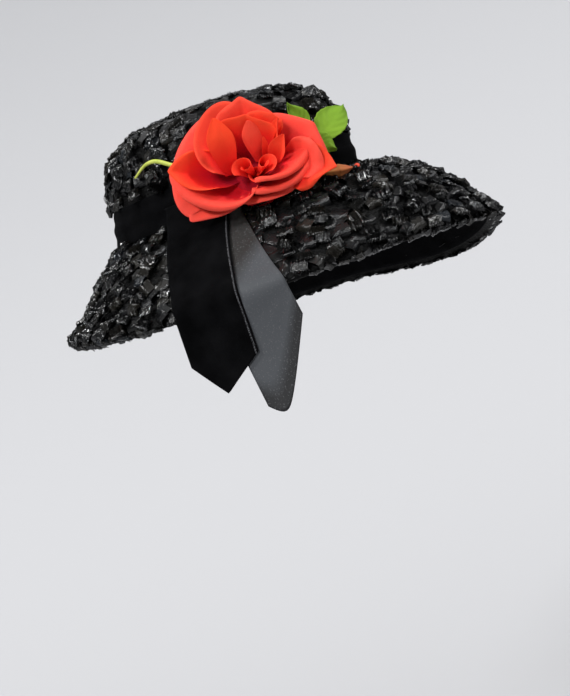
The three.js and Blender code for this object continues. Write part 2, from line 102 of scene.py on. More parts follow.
# %% Floor and backdrop
FLOOR_HEIGHT = -0.6
FLOOR_SIZE = 9
BACKDROP_HEIGHT = 5
BACKDROP_DISTANCE = 2.6
FOLD_RADIUS = 1.9
FOLD_STEPS = 24


def select_points(shape, test):
    """In edit mode, selects the points whose place passes a test."""
    bpy.ops.mesh.select_all(action="DESELECT")
    edit = bmesh.from_edit_mesh(shape.data)
    for vertex in edit.verts:
        vertex.select_set(test(vertex.co))
    edit.select_flush(True)
    bmesh.update_edit_mesh(shape.data)


bpy.ops.object.select_all(action="DESELECT")
bpy.ops.mesh.primitive_plane_add(size=FLOOR_SIZE, location=(0, 0, 0))
floor = bpy.context.object
floor.name = "studio_floor"
bpy.ops.object.mode_set(mode="EDIT")
bpy.ops.mesh.select_mode(type="VERT")
select_points(floor, lambda co: co.x > 0)
bpy.ops.mesh.extrude_region_move(TRANSFORM_OT_translate={"value": (0, 0, BACKDROP_HEIGHT)})
bpy.ops.object.mode_set(mode="OBJECT")
fold = floor.modifiers.new("fold", "BEVEL")
fold.width = FOLD_RADIUS
fold.segments = FOLD_STEPS
bpy.ops.object.modifier_apply(modifier="fold")
bpy.ops.object.shade_smooth()
floor.rotation_euler = (0, 0, math.radians(90 - CAMERA_HEADING))
floor.location = -towards_camera * (BACKDROP_DISTANCE - FLOOR_SIZE / 2) + Vector((0, 0, FLOOR_HEIGHT))
bpy.ops.object.transform_apply(location=True, rotation=True, scale=True)
print("floor at", FLOOR_HEIGHT)


# %% Soft suns
def soft_sun(name, forward, right, up, breadth, strength, colour):
    """A sun whose disc is some degrees broad, placed as seen by the camera."""
    from_where = towards_camera * forward + level_right * right + Vector((0, 0, up))
    bpy.ops.object.light_add(type="SUN", location=from_where)
    sun = bpy.context.object
    sun.name = name
    sun.data.angle = math.radians(breadth)
    sun.data.energy = strength
    sun.data.color = colour
    sun.rotation_euler = from_where.to_track_quat("Z", "Y").to_euler()
    return sun


COOL, WARM, WHITE = (0.96, 0.98, 1.0), (1.0, 0.97, 0.93), (1, 1, 1)
SUNS = [
    # name, forward, right, up, breadth in degrees, strength, colour
    ("window_sun", 1.0, -0.45, 0.6, 15, 1.75, COOL),
    ("side_sun", 0.5, 1.0, 0.7, 14, 0.7, WHITE),
    ("ceiling_sun", 0.0, -0.2, 1.0, 60, 0.35, WARM),
    ("left_glint_sun", 0.4, -0.9, 1.1, 7, 1.6, WHITE),
    ("right_glint_sun", 0.4, 0.9, 1.4, 7, 1.3, WHITE),
]
for sun_row in SUNS:
    soft_sun(*sun_row)

world = bpy.data.worlds.new("studio_air")
bpy.context.scene.world = world
world.use_nodes = True
AIR_COLOUR = (0.9, 0.93, 1.0, 1)
AIR_STRENGTH = 0.14
air = world.node_tree.nodes["Background"]
air.inputs["Color"].default_value = AIR_COLOUR
air.inputs["Strength"].default_value = AIR_STRENGTH
bpy.context.scene.view_settings.view_transform = "Standard"
print(len(SUNS), "suns and a pale world")

# %% [markdown]
# ## Materials
# Every finish is a small node tree. The helpers below add a node and join it in one line, so that each
# recipe stays readable. Patterns use the object's own coordinates, or a UV map where they follow a ribbon.

# %% Node helpers
OBJECT_SPACE = "Object"
UV_SPACE = "UV"


def new_material(name, colour, roughness):
    """A material with one Principled shader, and the shader and tree to build on."""
    material = bpy.data.materials.new(name)
    material.use_nodes = True
    tree = material.node_tree
    shader = tree.nodes["Principled BSDF"]
    shader.inputs["Base Color"].default_value = (*colour, 1)
    shader.inputs["Roughness"].default_value = roughness
    return material, tree, shader


def add_node(tree, kind, settings=None, **inputs):
    """A node with its settings, and its sockets set to values or joined to other sockets."""
    node = tree.nodes.new(kind)
    for name, value in (settings or {}).items():
        setattr(node, name, value)
    for name, value in inputs.items():
        socket = node.inputs[name.replace("_", " ")]
        if isinstance(value, bpy.types.NodeSocket):
            tree.links.new(value, socket)
        else:
            socket.default_value = value
    return node


def coordinates(tree, space, scale=(1, 1, 1)):
    """Object or UV coordinates, stretched by a scale."""
    source = add_node(tree, "ShaderNodeTexCoord").outputs[space]
    return add_node(tree, "ShaderNodeMapping", Vector=source, Scale=scale).outputs["Vector"]


def noise(tree, vector, scale, detail=3.0):
    """Soft noise from 0 to 1."""
    return add_node(tree, "ShaderNodeTexNoise", Vector=vector, Scale=scale, Detail=detail).outputs["Fac"]


def ramp(tree, factor, stops):
    """A colour ramp with its stops as (place, colour)."""
    node = add_node(tree, "ShaderNodeValToRGB", Fac=factor)
    elements = node.color_ramp.elements
    elements[0].position, elements[1].position = stops[0][0], stops[-1][0]
    for place, _ in stops[1:-1]:
        elements.new(place)
    for element, (_, colour) in zip(elements, stops):
        element.color = (*colour, 1)
    return node.outputs["Color"]


def bump(tree, shader, height, strength, distance):
    """Joins a height to the shader's normal, on top of any bump that is there already."""
    node = add_node(tree, "ShaderNodeBump", Height=height, Strength=strength, Distance=distance)
    before = shader.inputs["Normal"].links
    if before:
        tree.links.new(before[0].from_socket, node.inputs["Normal"])
    tree.links.new(node.outputs["Normal"], shader.inputs["Normal"])


def grey_range(tree, factor, low, high):
    """A factor stretched from 0..1 to low..high."""
    return add_node(tree, "ShaderNodeMapRange", Value=factor, To_Min=low, To_Max=high).outputs["Result"]


def point_value(tree, name):
    """A number that a piece's points carry."""
    return add_node(tree, "ShaderNodeAttribute", {"attribute_name": name}).outputs["Fac"]


def blend(tree, factor, first, second):
    """A colour between two, each a socket or a plain colour, by a factor."""
    node = add_node(tree, "ShaderNodeMix", {"data_type": "RGBA"})
    for socket, value in zip((node.inputs[0], node.inputs[6], node.inputs[7]), (factor, first, second)):
        if isinstance(value, bpy.types.NodeSocket):
            tree.links.new(value, socket)
        else:
            socket.default_value = (*value, 1)
    return node.outputs[2]


def uv_part(tree, part):
    """X across or Y along a piece, by its UV map."""
    return add_node(tree, "ShaderNodeSeparateXYZ", Vector=coordinates(tree, UV_SPACE)).outputs[part]


print("node helpers ready")

# %% [markdown]
# **Straw.** The braid is black cellophane: smooth, with faint streaks drawn along each strip, and a
# little brown or blue from one strip to the next. The strips carry a number called tone that the
# material turns into those colours, so no two neighbours match. There are two finishes of it: the folded
# tabs have wide, shallow dents and little gloss, and the crimped tufts have fine dents and more gloss. The
# plain ground under both is nearly dull.

# %% Straw material
STRIP_COLOURS = [
    (0.0, (0.003, 0.003, 0.003)),
    (0.5, (0.006, 0.006, 0.0065)),
    (0.8, (0.014, 0.0125, 0.01)),
    (1.0, (0.01, 0.012, 0.015)),
]


def straw_material(name, roughness_from, roughness_to, gloss, dent_size, dent_depth):
    """Black cellophane strip with drawn streaks and small dents, whose size and depth are in metres."""
    material, tree, shader = new_material(name, STRIP_COLOURS[1][1], roughness_from)
    tree.links.new(ramp(tree, point_value(tree, "tone"), STRIP_COLOURS), shader.inputs["Base Color"])
    streaks = noise(tree, coordinates(tree, UV_SPACE, (34, 3, 1)), 3.0)
    bump(tree, shader, streaks, strength=0.35, distance=0.0004)
    dents = noise(tree, coordinates(tree, OBJECT_SPACE), 1 / dent_size, 2.0)
    bump(tree, shader, dents, strength=1.0, distance=dent_depth)
    tree.links.new(grey_range(tree, streaks, roughness_from, roughness_to), shader.inputs["Roughness"])
    shader.inputs["Specular IOR Level"].default_value = gloss
    return material


straw = straw_material(
    "straw", roughness_from=0.08, roughness_to=0.2, gloss=0.3, dent_size=0.012, dent_depth=0.0008
)
crimped_straw = straw_material(
    "straw_crimped", roughness_from=0.08, roughness_to=0.18, gloss=0.6, dent_size=0.003, dent_depth=0.0007
)

WEAVE_SIZE = 420.0  # cells to a metre
wall_straw, tree, shader = new_material("straw_wall", (0.008, 0.008, 0.009), 0.5)
squashed = coordinates(tree, OBJECT_SPACE, (1, 1, 1.4))
weave = add_node(tree, "ShaderNodeTexVoronoi", Vector=squashed, Scale=WEAVE_SIZE)
bump(tree, shader, weave.outputs["Distance"], strength=0.7, distance=0.0006)
wall_colours = [(0.2, (0.002, 0.002, 0.002)), (0.9, (0.01, 0.01, 0.01))]
shader.inputs["Specular IOR Level"].default_value = 0.05
tree.links.new(ramp(tree, weave.outputs["Distance"], wall_colours), shader.inputs["Base Color"])
print("straw, straw_crimped and straw_wall ready")

# %% [markdown]
# **Velvet and satin.** Velvet swallows light face-on and gives a little back where it turns away, which
# is what sheen does. The ribbon's other side is a dull satin with a fine cross rib. Both sides end in a
# thin woven selvedge, drawn by the ribbon's own UV map: u runs across it and v along it.


# %% Ribbon materials
BLACK = (0, 0, 0)


def velvet_material(name, selvedge):
    """Black pile. With a selvedge, the ribbon's edges show a fine grey cord."""
    material, tree, shader = new_material(name, (0.0022, 0.0022, 0.0025), 1.0)
    shader.inputs["Specular IOR Level"].default_value = 0.02
    shader.inputs["Sheen Weight"].default_value = 0.02
    shader.inputs["Sheen Roughness"].default_value = 0.3
    shader.inputs["Sheen Tint"].default_value = (0.75, 0.78, 0.85, 1)
    pile = noise(tree, coordinates(tree, OBJECT_SPACE), 2200.0, 2.0)
    bump(tree, shader, pile, strength=0.5, distance=0.0004)
    colours = [(0.3, (0.0016, 0.0016, 0.0018)), (0.75, (0.0045, 0.0045, 0.005))]
    colour = ramp(tree, noise(tree, coordinates(tree, OBJECT_SPACE), 60.0), colours)
    if selvedge:
        knots = noise(tree, coordinates(tree, UV_SPACE, (20, 110, 1)), 3.0)
        cord = ramp(tree, knots, [(0.46, (0.003, 0.003, 0.003)), (0.62, (0.15, 0.15, 0.16))])
        strip = [(0.024, BLACK), (0.03, WHITE), (0.044, WHITE), (0.05, BLACK)]
        colour = blend(tree, ramp(tree, uv_part(tree, "X"), strip), colour, cord)
    tree.links.new(colour, shader.inputs["Base Color"])
    return material


velvet = velvet_material("velvet", selvedge=False)
ribbon_velvet = velvet_material("ribbon_velvet", selvedge=True)

satin, tree, shader = new_material("satin", (0.03, 0.032, 0.036), 0.58)
shader.inputs["Specular IOR Level"].default_value = 0.32
ribbon_uv = coordinates(tree, UV_SPACE)
ribs = add_node(tree, "ShaderNodeTexWave", {"bands_direction": "Y"}, Vector=ribbon_uv, Scale=90.0)
bump(tree, shader, ribs.outputs["Fac"], strength=0.25, distance=0.0002)
fluff = noise(tree, coordinates(tree, OBJECT_SPACE), 900.0, 4.0)
# Painted shade: the satin is darker and browner towards its upper end, where it lies on the brim, and it is
# darker towards its tip as well.
satin_upper_shade_dark_tip_stops = [
    (0.47, (0.012, 0.011, 0.01)),
    (0.57, (0.05, 0.054, 0.06)),
    (0.88, (0.052, 0.056, 0.062)),
    (0.95, (0.014, 0.014, 0.015)),
]
satin_upper_shade_dark_tip = ramp(tree, uv_part(tree, "Y"), satin_upper_shade_dark_tip_stops)
flecks = ramp(tree, fluff, [(0.58, BLACK), (0.74, WHITE)])
tree.links.new(blend(tree, flecks, satin_upper_shade_dark_tip, (0.1, 0.1, 0.105)), shader.inputs["Base Color"])
print("velvet and satin ready")

# %% [markdown]
# ** Rose, leaves and wires.** The petals are dyed cotton sateen: matt and a touch translucent. Their colour is
# painted deeper red towards each petal's foot in the heart, as painted shade. The leaves are the same
# cloth dyed yellow-green, with pressed veins. The stem is wire wrapped in paper, and the bud's sepals are a
# brown cloth.


# %% Rose materials
def cloth_material(name, stops, weave_scale, roughness=0.75):
    """Dyed cloth whose colour runs from foot to rim, by v of its UV map, with a fine weave."""
    material, tree, shader = new_material(name, stops[-1][1], roughness)
    along = uv_part(tree, "Y")
    cloudy = noise(tree, coordinates(tree, OBJECT_SPACE), 45.0)
    shifted = add_node(tree, "ShaderNodeMath", {"operation": "MULTIPLY_ADD"})
    tree.links.new(cloudy, shifted.inputs[0])
    shifted.inputs[1].default_value = 0.3
    tree.links.new(along, shifted.inputs[2])
    lowered = add_node(tree, "ShaderNodeMath", {"operation": "SUBTRACT"})
    tree.links.new(shifted.outputs["Value"], lowered.inputs[0])
    lowered.inputs[1].default_value = 0.15
    tree.links.new(ramp(tree, lowered.outputs["Value"], stops), shader.inputs["Base Color"])
    threads = noise(tree, coordinates(tree, UV_SPACE, (weave_scale, weave_scale * 0.4, 1)), 4.0, 2.0)
    bump(tree, shader, threads, strength=0.25, distance=0.0003)
    creases = noise(tree, coordinates(tree, OBJECT_SPACE), 90.0, 2.0)
    bump(tree, shader, creases, strength=0.4, distance=0.003)
    shader.inputs["Sheen Weight"].default_value = 0.05
    shader.inputs["Sheen Roughness"].default_value = 0.4
    shader.inputs["Specular IOR Level"].default_value = 0.15
    return material, tree, shader


# Painted shade: deep crimson where a petal's foot lies down in the heart, up to orange at its rim.
petal_stops = [
    (0.0, (0.26, 0.0, 0.012)),
    (0.35, (0.6, 0.003, 0.01)),
    (0.65, (0.84, 0.015, 0.008)),
    (1.0, (0.93, 0.06, 0.017)),
]
# The outside face gets the same painted shade, up to coral.
outside_stops = [(0.3, (0.6, 0.006, 0.014)), (0.75, (0.88, 0.065, 0.042)), (1.0, (0.9, 0.08, 0.055))]
petal_cloth, tree, shader = cloth_material("petal", petal_stops, weave_scale=60)
# Painted shade: each point's number darkens the petal towards its foot, where it lies in the heart's shade;
# tone then picks the orange inside or the coral outside colour.
painted_shade = point_value(tree, "painted_shade")
inside, outside = ramp(tree, painted_shade, petal_stops), ramp(tree, painted_shade, outside_stops)
tree.links.new(blend(tree, point_value(tree, "tone"), inside, outside), shader.inputs["Base Color"])
shader.inputs["Sheen Tint"].default_value = (1.0, 0.7, 0.65, 1)
shader.inputs["Subsurface Weight"].default_value = 0.15
shader.inputs["Subsurface Radius"].default_value = (0.004, 0.001, 0.0006)

leaf_stops = [(0.0, (0.24, 0.34, 0.025)), (0.5, (0.2, 0.34, 0.022)), (1.0, (0.16, 0.3, 0.02))]
leaf_cloth, tree, shader = cloth_material("leaf", leaf_stops, weave_scale=60, roughness=0.6)
calyx_stops = [(0.0, (0.5, 0.42, 0.08)), (0.6, (0.6, 0.27, 0.07)), (1.0, (0.5, 0.12, 0.05))]
calyx_cloth, tree, shader = cloth_material("calyx", calyx_stops, weave_scale=40, roughness=0.6)

bud_coral, tree, shader = new_material("bud_coral", (0.85, 0.07, 0.03), 0.7)
stem_paper, tree, shader = new_material("stem", (0.5, 0.55, 0.06), 0.5)
wound = coordinates(tree, UV_SPACE, (1, 26, 1))
turns = add_node(tree, "ShaderNodeTexWave", {"bands_direction": "DIAGONAL"}, Vector=wound, Scale=1.0)
bump(tree, shader, turns.outputs["Fac"], strength=0.3, distance=0.0004)
stem_colours = [(0.25, (0.32, 0.42, 0.03)), (0.7, (0.62, 0.66, 0.12))]
mottle = noise(tree, coordinates(tree, OBJECT_SPACE), 120.0)
tree.links.new(ramp(tree, mottle, stem_colours), shader.inputs["Base Color"])

backdrop_paper, tree, shader = new_material("backdrop", (0.45, 0.45, 0.46), 0.9)
paper_grain = noise(tree, coordinates(tree, OBJECT_SPACE), 300.0)
bump(tree, shader, paper_grain, strength=0.05, distance=0.001)
floor.data.materials.append(backdrop_paper)
print("petal, leaf, calyx, stem and backdrop ready")

# %% [markdown]
# ## The hat's own surfaces
# The straw follows two smooth skins: the crown, from its foot to the middle of its tip, and the brim,
# from the foot to its edge. They are worked out here from the same named sizes and section tables as the
# solids, so that each tab of straw sits exactly on its wall. Angles start at the front of the hat and
# grow towards the wearer's right; shares run from the foot outwards or upwards.

# %% Named sizes
HEAD_LENGTH = 0.195
HEAD_WIDTH = 0.151
CROWN_HEIGHT = 0.0785
FOOT_DIP = 0.009  # how far the foot of the crown lies below the origin, at the front and the sides
FOOT_DIP_BACK = 0.004
STRAW_WALL = 0.0024
BRIM_REACH = (0.089, 0.070, 0.053)  # front, side and back
BRIM_DROP = (0.064, 0.068, 0.056)
QUARTER_DIP = 0.012  # between the front and the wearer's left
GAP = 0.0004


def columns(names, rows):
    """A table whose columns are found by name."""
    return {name: np.array(column, float) for name, column in zip(names.split(), zip(*rows))}


CROWN_SECTIONS = columns(
    "front_out front_up side_out side_up back_out back_up",
    [
        (1.0, 0.0, 1.0, 0.0, 1.0, 0.0),
        (1.0, 0.21, 0.985, 0.21, 0.965, 0.21),
        (0.985, 0.42, 0.955, 0.41, 0.915, 0.41),
        (0.945, 0.6, 0.915, 0.6, 0.885, 0.6),
        (0.86, 0.75, 0.84, 0.76, 0.83, 0.765),
        (0.7, 0.87, 0.7, 0.885, 0.7, 0.9),
        (0.47, 0.95, 0.47, 0.96, 0.48, 0.975),
        (0.23, 0.99, 0.23, 0.99, 0.24, 0.995),
        (0.0, 1.0, 0.0, 1.0, 0.0, 1.0),
    ],
)
BRIM_SECTIONS = columns(
    "front_out front_drop side_out side_drop back_out back_drop",
    [
        (0.0, 0.0, 0.0, 0.0, 0.0, 0.0),
        (0.22, 0.05, 0.2, 0.12, 0.11, 0.16),
        (0.42, 0.15, 0.38, 0.27, 0.24, 0.33),
        (0.6, 0.33, 0.55, 0.44, 0.41, 0.51),
        (0.76, 0.55, 0.71, 0.63, 0.6, 0.69),
        (0.89, 0.78, 0.86, 0.82, 0.8, 0.85),
        (1.0, 1.0, 1.0, 1.0, 1.0, 1.0),
    ],
)
print(len(CROWN_SECTIONS["side_up"]), "crown sections,", len(BRIM_SECTIONS["side_out"]), "brim sections")


# %% Crown and brim skins
def smooth_column(column, share):
    """A column at a share of the way down it, on a smooth curve through its rows."""
    place = np.clip(share, 0, 1) * (len(column) - 1)
    row = np.minimum(np.floor(place), len(column) - 2).astype(int)
    f = place - row
    a, b, c, d = (column[np.clip(row + i, 0, len(column) - 1)] for i in (-1, 0, 1, 2))
    return b + 0.5 * f * (c - a + f * (2 * a - 5 * b + 4 * c - d + f * (3 * (b - c) + d - a)))


def round_the_hat(angle, front, side, back):
    """Blends a front, a side and a back value smoothly round the hat."""
    ahead = np.cos(angle)
    return side + (np.where(ahead > 0, front, back) - side) * ahead**2


def profile(sections, quantity, share, angle):
    """A quantity of a section table at a share of the slope, blended round the hat."""
    parts = [smooth_column(sections[f"{where}_{quantity}"], share) for where in ("front", "side", "back")]
    return round_the_hat(angle, *parts)


def unit(vectors):
    """Vectors shortened to a length of one."""
    return vectors / np.maximum(np.linalg.norm(vectors, axis=-1, keepdims=True), 1e-12)


def outward(angle):
    """The direction that points straight away from the foot of the crown."""
    level = np.zeros_like(angle)
    return unit(np.stack([-np.sin(angle) / HEAD_WIDTH, -np.cos(angle) / HEAD_LENGTH, level], -1))


def crown_skin(share, angle):
    """The outside of the crown."""
    share, angle = np.broadcast_arrays(np.asarray(share, float), np.asarray(angle, float))
    out = profile(CROWN_SECTIONS, "out", share, angle)
    up = profile(CROWN_SECTIONS, "up", share, angle)
    x = -np.sin(angle) * (HEAD_WIDTH / 2 + STRAW_WALL) * out
    y = -np.cos(angle) * (HEAD_LENGTH / 2 + STRAW_WALL) * out
    dip = round_the_hat(angle, FOOT_DIP, FOOT_DIP, FOOT_DIP_BACK)
    return np.stack([x, y, CROWN_HEIGHT * up - dip * (1 - up)], -1)


def brim_skin(share, angle):
    """The upper side of the brim."""
    share, angle = np.broadcast_arrays(np.asarray(share, float), np.asarray(angle, float))
    front_left = (np.cos(angle) > 0) & (np.sin(angle) < 0)
    dip = np.where(front_left, QUARTER_DIP * np.sin(2 * angle) ** 2, 0)
    drop = round_the_hat(angle, *BRIM_DROP) + dip
    out = round_the_hat(angle, *BRIM_REACH) * profile(BRIM_SECTIONS, "out", share, angle)
    point = crown_skin(0, angle) + outward(angle) * out[..., None]
    point[..., 2] -= GAP + drop * profile(BRIM_SECTIONS, "drop", share, angle)
    return point


def skin_frame(skin, share, angle):
    """Where a point of a skin is, and its directions: along its row, up its slope, and straight out."""
    step = 1e-3
    near = np.clip(share, step, 1 - 2 * step)
    slope = skin(near + step, angle) - skin(near - step, angle)
    along = skin(near, angle + step) - skin(near, angle - step)
    normal = unit(np.cross(slope, along))
    looks_in = np.sum(normal * (outward(np.asarray(angle, float)) + np.array([0, 0, 1])), -1) < 0
    normal = np.where(np.asarray(looks_in)[..., None], -normal, normal)
    along = unit(along)
    return skin(share, angle), along, np.cross(normal, along), normal


def lifted(skin, share, angle, lift):
    """A point some way off a skin, along its normal."""
    place, _, _, normal = skin_frame(skin, share, angle)
    return place + normal * lift


print("crown top", crown_skin(1, 0).round(4), "brim front", brim_skin(1, 0).round(4))


# %% [markdown]
# ## Helpers for making pieces
# A thin piece starts as Blender's grid, which brings a UV map. Its points are then laid on a surface
# given by a function of u and v, and Solidify gives the cloth its thickness. A closed hoop has its two
# ends merged. Every piece ends at the origin, smooth, on its body and in its finish.


# %% Piece helpers
def apply_modifier(piece, kind, **settings):
    """Adds a modifier, sets it, and applies it."""
    modifier = piece.modifiers.new(kind.lower(), kind)
    for name, value in settings.items():
        setattr(modifier, name, value)
    bpy.ops.object.modifier_apply(modifier=modifier.name)


def activate(piece):
    """Selects one piece and makes it the active one."""
    bpy.ops.object.select_all(action="DESELECT")
    piece.select_set(True)
    bpy.context.view_layer.objects.active = piece


def lengths_along(points):
    """How far along a line each of its points lies."""
    return np.concatenate([[0], np.cumsum(np.linalg.norm(np.diff(points, axis=0), axis=1))])


def new_grid(name, across, along):
    """A flat grid from 0 to 1 in x and y, with a UV map to match."""
    bpy.ops.object.select_all(action="DESELECT")
    cells = {"x_subdivisions": across, "y_subdivisions": along}
    bpy.ops.mesh.primitive_grid_add(**cells, size=1, location=(0.5, 0.5, 0))
    grid = bpy.context.object
    grid.name = name
    bpy.ops.object.transform_apply(location=True, rotation=True, scale=True)
    return grid


def points_of(piece):
    """The places of a piece's points, in its own frame."""
    flat = np.zeros(len(piece.data.vertices) * 3)
    piece.data.vertices.foreach_get("co", flat)
    return flat.reshape(-1, 3)


def lay_on(grid, surface):
    """Moves each point of a flat grid to surface(u, v), which takes and gives arrays."""
    flat = points_of(grid)
    places = surface(flat[:, 0], flat[:, 1])
    grid.data.vertices.foreach_set("co", np.asarray(places, float).ravel())
    grid.data.update()


def merge_seam(piece, distance=2e-5):
    """Joins points that lie on each other."""
    activate(piece)
    bpy.ops.object.mode_set(mode="EDIT")
    bpy.ops.mesh.select_all(action="SELECT")
    bpy.ops.mesh.remove_doubles(threshold=distance)
    bpy.ops.object.mode_set(mode="OBJECT")


def one_side_area(piece):
    """The area of a sheet before it gets its thickness."""
    return sum(face.area for face in piece.data.polygons)


def finish_piece(piece, material, replaces=(), smooth_angle=None):
    """Shades the piece, gives it its finish, and fixes it to the hat."""
    activate(piece)
    if smooth_angle is None:
        bpy.ops.object.shade_smooth()
    else:
        bpy.ops.object.shade_smooth_by_angle(angle=math.radians(smooth_angle))
    piece.data.materials.clear()
    piece.data.materials.append(material)
    if replaces:
        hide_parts(*replaces)
    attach(piece, "root")
    print(piece.name, len(piece.data.polygons), "faces")


def cloth_piece(name, surface, across, along, thickness, subdivisions=0, closed=False, painted_shade=None):
    """A sheet laid on a surface and given its thickness. Returns it and its one-sided area."""
    piece = new_grid(name, across, along)
    # The optional numbers are painted shade for the petal cloth, one for each point.
    if painted_shade is not None:
        flat = points_of(piece)
        values = painted_shade(flat[:, 0], flat[:, 1])
        piece.data.attributes.new("painted_shade", "FLOAT", "POINT").data.foreach_set("value", values)
    lay_on(piece, surface)
    if closed:
        merge_seam(piece)
    activate(piece)
    area = one_side_area(piece)
    apply_modifier(piece, "SOLIDIFY", thickness=thickness, offset=0, use_even_offset=False)
    if subdivisions:
        apply_modifier(piece, "SUBSURF", levels=subdivisions, render_levels=subdivisions)
    return piece, area


print("piece helpers ready")

# %% [markdown]
# ## Straw walls
# Under the tabs lies the braid's plain sewn ground, in rows. The solids have its shape already, but in
# flat facets, so a copy of each is merged, turned back from triangles to quads, and smoothed by one
# round of subdivision, with its sharp rims creased so that they stay. On the real hat the crown's last row
# is sewn to the brim's first, so the crown's foot is drawn down until no light shows between them.


# %% Crown and brim walls
SHARP_RIM = math.radians(50)
RIM_REACH = 0.0008  # how high above the foot a point still counts as its rim
SEWN_DEPTH = 0.0005  # how far the crown's foot sinks into the brim


def smoothed_copy(node, name, levels):
    """A copy of a solid with its loose triangles merged into quads and rounded, but for its sharp rims."""
    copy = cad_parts[node].copy()
    copy.data = copy.data.copy()
    copy.name = name
    for key in [key for key in copy.keys() if key.startswith("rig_")]:
        del copy[key]
    copy.parent = None
    bpy.context.scene.collection.objects.link(copy)
    activate(copy)
    bpy.ops.object.mode_set(mode="EDIT")
    bpy.ops.mesh.select_all(action="SELECT")
    bpy.ops.mesh.remove_doubles(threshold=1e-6)
    bpy.ops.mesh.tris_convert_to_quads()
    bpy.ops.mesh.select_mode(type="EDGE")
    bpy.ops.mesh.select_all(action="DESELECT")
    bpy.ops.mesh.edges_select_sharp(sharpness=SHARP_RIM)
    bpy.ops.transform.edge_crease(value=1)
    bpy.ops.object.mode_set(mode="OBJECT")
    apply_modifier(copy, "SUBSURF", levels=levels, render_levels=levels)
    return copy


def on_foot(co):
    """Whether a point is on the lowest rim of the crown."""
    angle = math.atan2(-co.x / (HEAD_WIDTH / 2 + STRAW_WALL), -co.y / (HEAD_LENGTH / 2 + STRAW_WALL))
    return co.z < crown_skin(0, angle)[2] + RIM_REACH


crown_wall = smoothed_copy("crown", "crown_wall", 1)
bpy.ops.object.mode_set(mode="EDIT")
bpy.ops.mesh.select_mode(type="VERT")
select_points(crown_wall, on_foot)
bpy.ops.transform.translate(value=(0, 0, -GAP - SEWN_DEPTH))
bpy.ops.object.mode_set(mode="OBJECT")
finish_piece(crown_wall, wall_straw, ["crown"])
brim_wall = smoothed_copy("brim", "brim_wall", 1)
finish_piece(brim_wall, wall_straw, ["brim"])

# %% [markdown]
# ## Straw tabs and tufts
# The braid is plaited from cellophane strip. Between its stitches the strip is folded into square tabs
# with a soft crease, and bunched into crimped tufts with many sharp little folds. Modelling each of the
# hundreds by hand would take weeks, so a few of each are made from a grid with edit-mode moves, and are
# then copied along the rows with chance turns, tilts and sizes.

# %% Straw shapes
TAB_SIZE = 0.0135
TAB_LENGTH = 0.0165  # with the part that rolls under
TAB_ROWS = 10
TAB_FLAT_ROWS = 5
TAB_ROLL = math.radians(24)  # from one row to the next
TUFT_LENGTH = 0.0115
TUFT_WIDTH = 0.0105
TUFT_PLEATS = 7
STRIP_THICKNESS = 0.0003
TAB_KINDS = 10
TUFT_KINDS = 12
TAB_SEED, TUFT_SEED = 100, 200
TAB_BEND = (20, 35)  # degrees, where its flat part ends
CREASE_HEIGHT = (0.0012, 0.0022)
TAB_CRUMPLE = 0.00018
PLEAT_HEIGHT = (0.0017, 0.0027)
TUFT_CRUMPLE = 0.0008
TAB_SMOOTH = 48  # degrees: sharper folds than this stay sharp
TUFT_SMOOTH = 125


def start_strip(name, across, along, width, length):
    """A flat strip in the middle of the world, in edit mode."""
    bpy.ops.object.select_all(action="DESELECT")
    cells = {"x_subdivisions": across, "y_subdivisions": along}
    bpy.ops.mesh.primitive_grid_add(**cells, size=1, location=(0, 0, 0))
    strip = bpy.context.object
    strip.name = name
    strip.scale = (width, length, 1)
    bpy.ops.object.transform_apply(location=True, rotation=True, scale=True)
    bpy.ops.object.mode_set(mode="EDIT")
    bpy.ops.mesh.select_mode(type="VERT")
    return strip


def close_strip(strip, smooth_angle):
    """Ends the edit, gives the strip its thickness, and keeps it out of the picture."""
    bpy.ops.object.mode_set(mode="OBJECT")
    apply_modifier(strip, "SOLIDIFY", thickness=STRIP_THICKNESS, offset=0)
    bpy.ops.object.shade_smooth_by_angle(angle=math.radians(smooth_angle))
    strip.hide_render = True
    return strip


def make_tab(number):
    """A flat loop of strip: its far end rolls under, its near end dips, and a crease crosses it."""
    chance = random.Random(TAB_SEED + number)
    tab = start_strip(f"tab_{number}", 4, TAB_ROWS, TAB_SIZE, TAB_LENGTH)
    cell = TAB_LENGTH / TAB_ROWS
    turn = math.radians(chance.uniform(*TAB_BEND))
    end = Vector((0, (TAB_FLAT_ROWS - TAB_ROWS / 2) * cell, 0))
    for row in range(TAB_FLAT_ROWS + 1, TAB_ROWS + 1):
        flat_y = (row - TAB_ROWS / 2) * cell
        end = end + Vector((0, math.cos(turn), -math.sin(turn))) * cell
        turn += TAB_ROLL
        select_points(tab, lambda co: abs(co.y - flat_y) < 0.1 * cell and abs(co.z) < 1e-7)
        bpy.ops.transform.translate(value=(0, end.y - flat_y, end.z))
    select_points(tab, lambda co: co.y < -0.45 * TAB_LENGTH)
    bpy.ops.transform.resize(value=(chance.uniform(0.75, 1), 1, 1))
    bpy.ops.transform.translate(value=(0, 0.0004, -chance.uniform(0.001, 0.002)))
    kind = number % 3
    slant = chance.choice((-1, 1))
    if kind == 0:
        select_points(tab, lambda co: abs(co.x) < 0.1 * TAB_SIZE)
    elif kind == 1:
        select_points(tab, lambda co: abs(co.x - slant * (co.y + 0.002) * 0.8) < 0.12 * TAB_SIZE)
    else:
        select_points(tab, lambda co: slant * co.x > 0.4 * TAB_SIZE)
    bpy.ops.transform.translate(value=(0, 0, chance.uniform(*CREASE_HEIGHT)))
    bpy.ops.mesh.select_all(action="SELECT")
    bpy.ops.transform.vertex_random(offset=TAB_CRUMPLE, uniform=0, normal=0, seed=number)
    return close_strip(tab, TAB_SMOOTH)


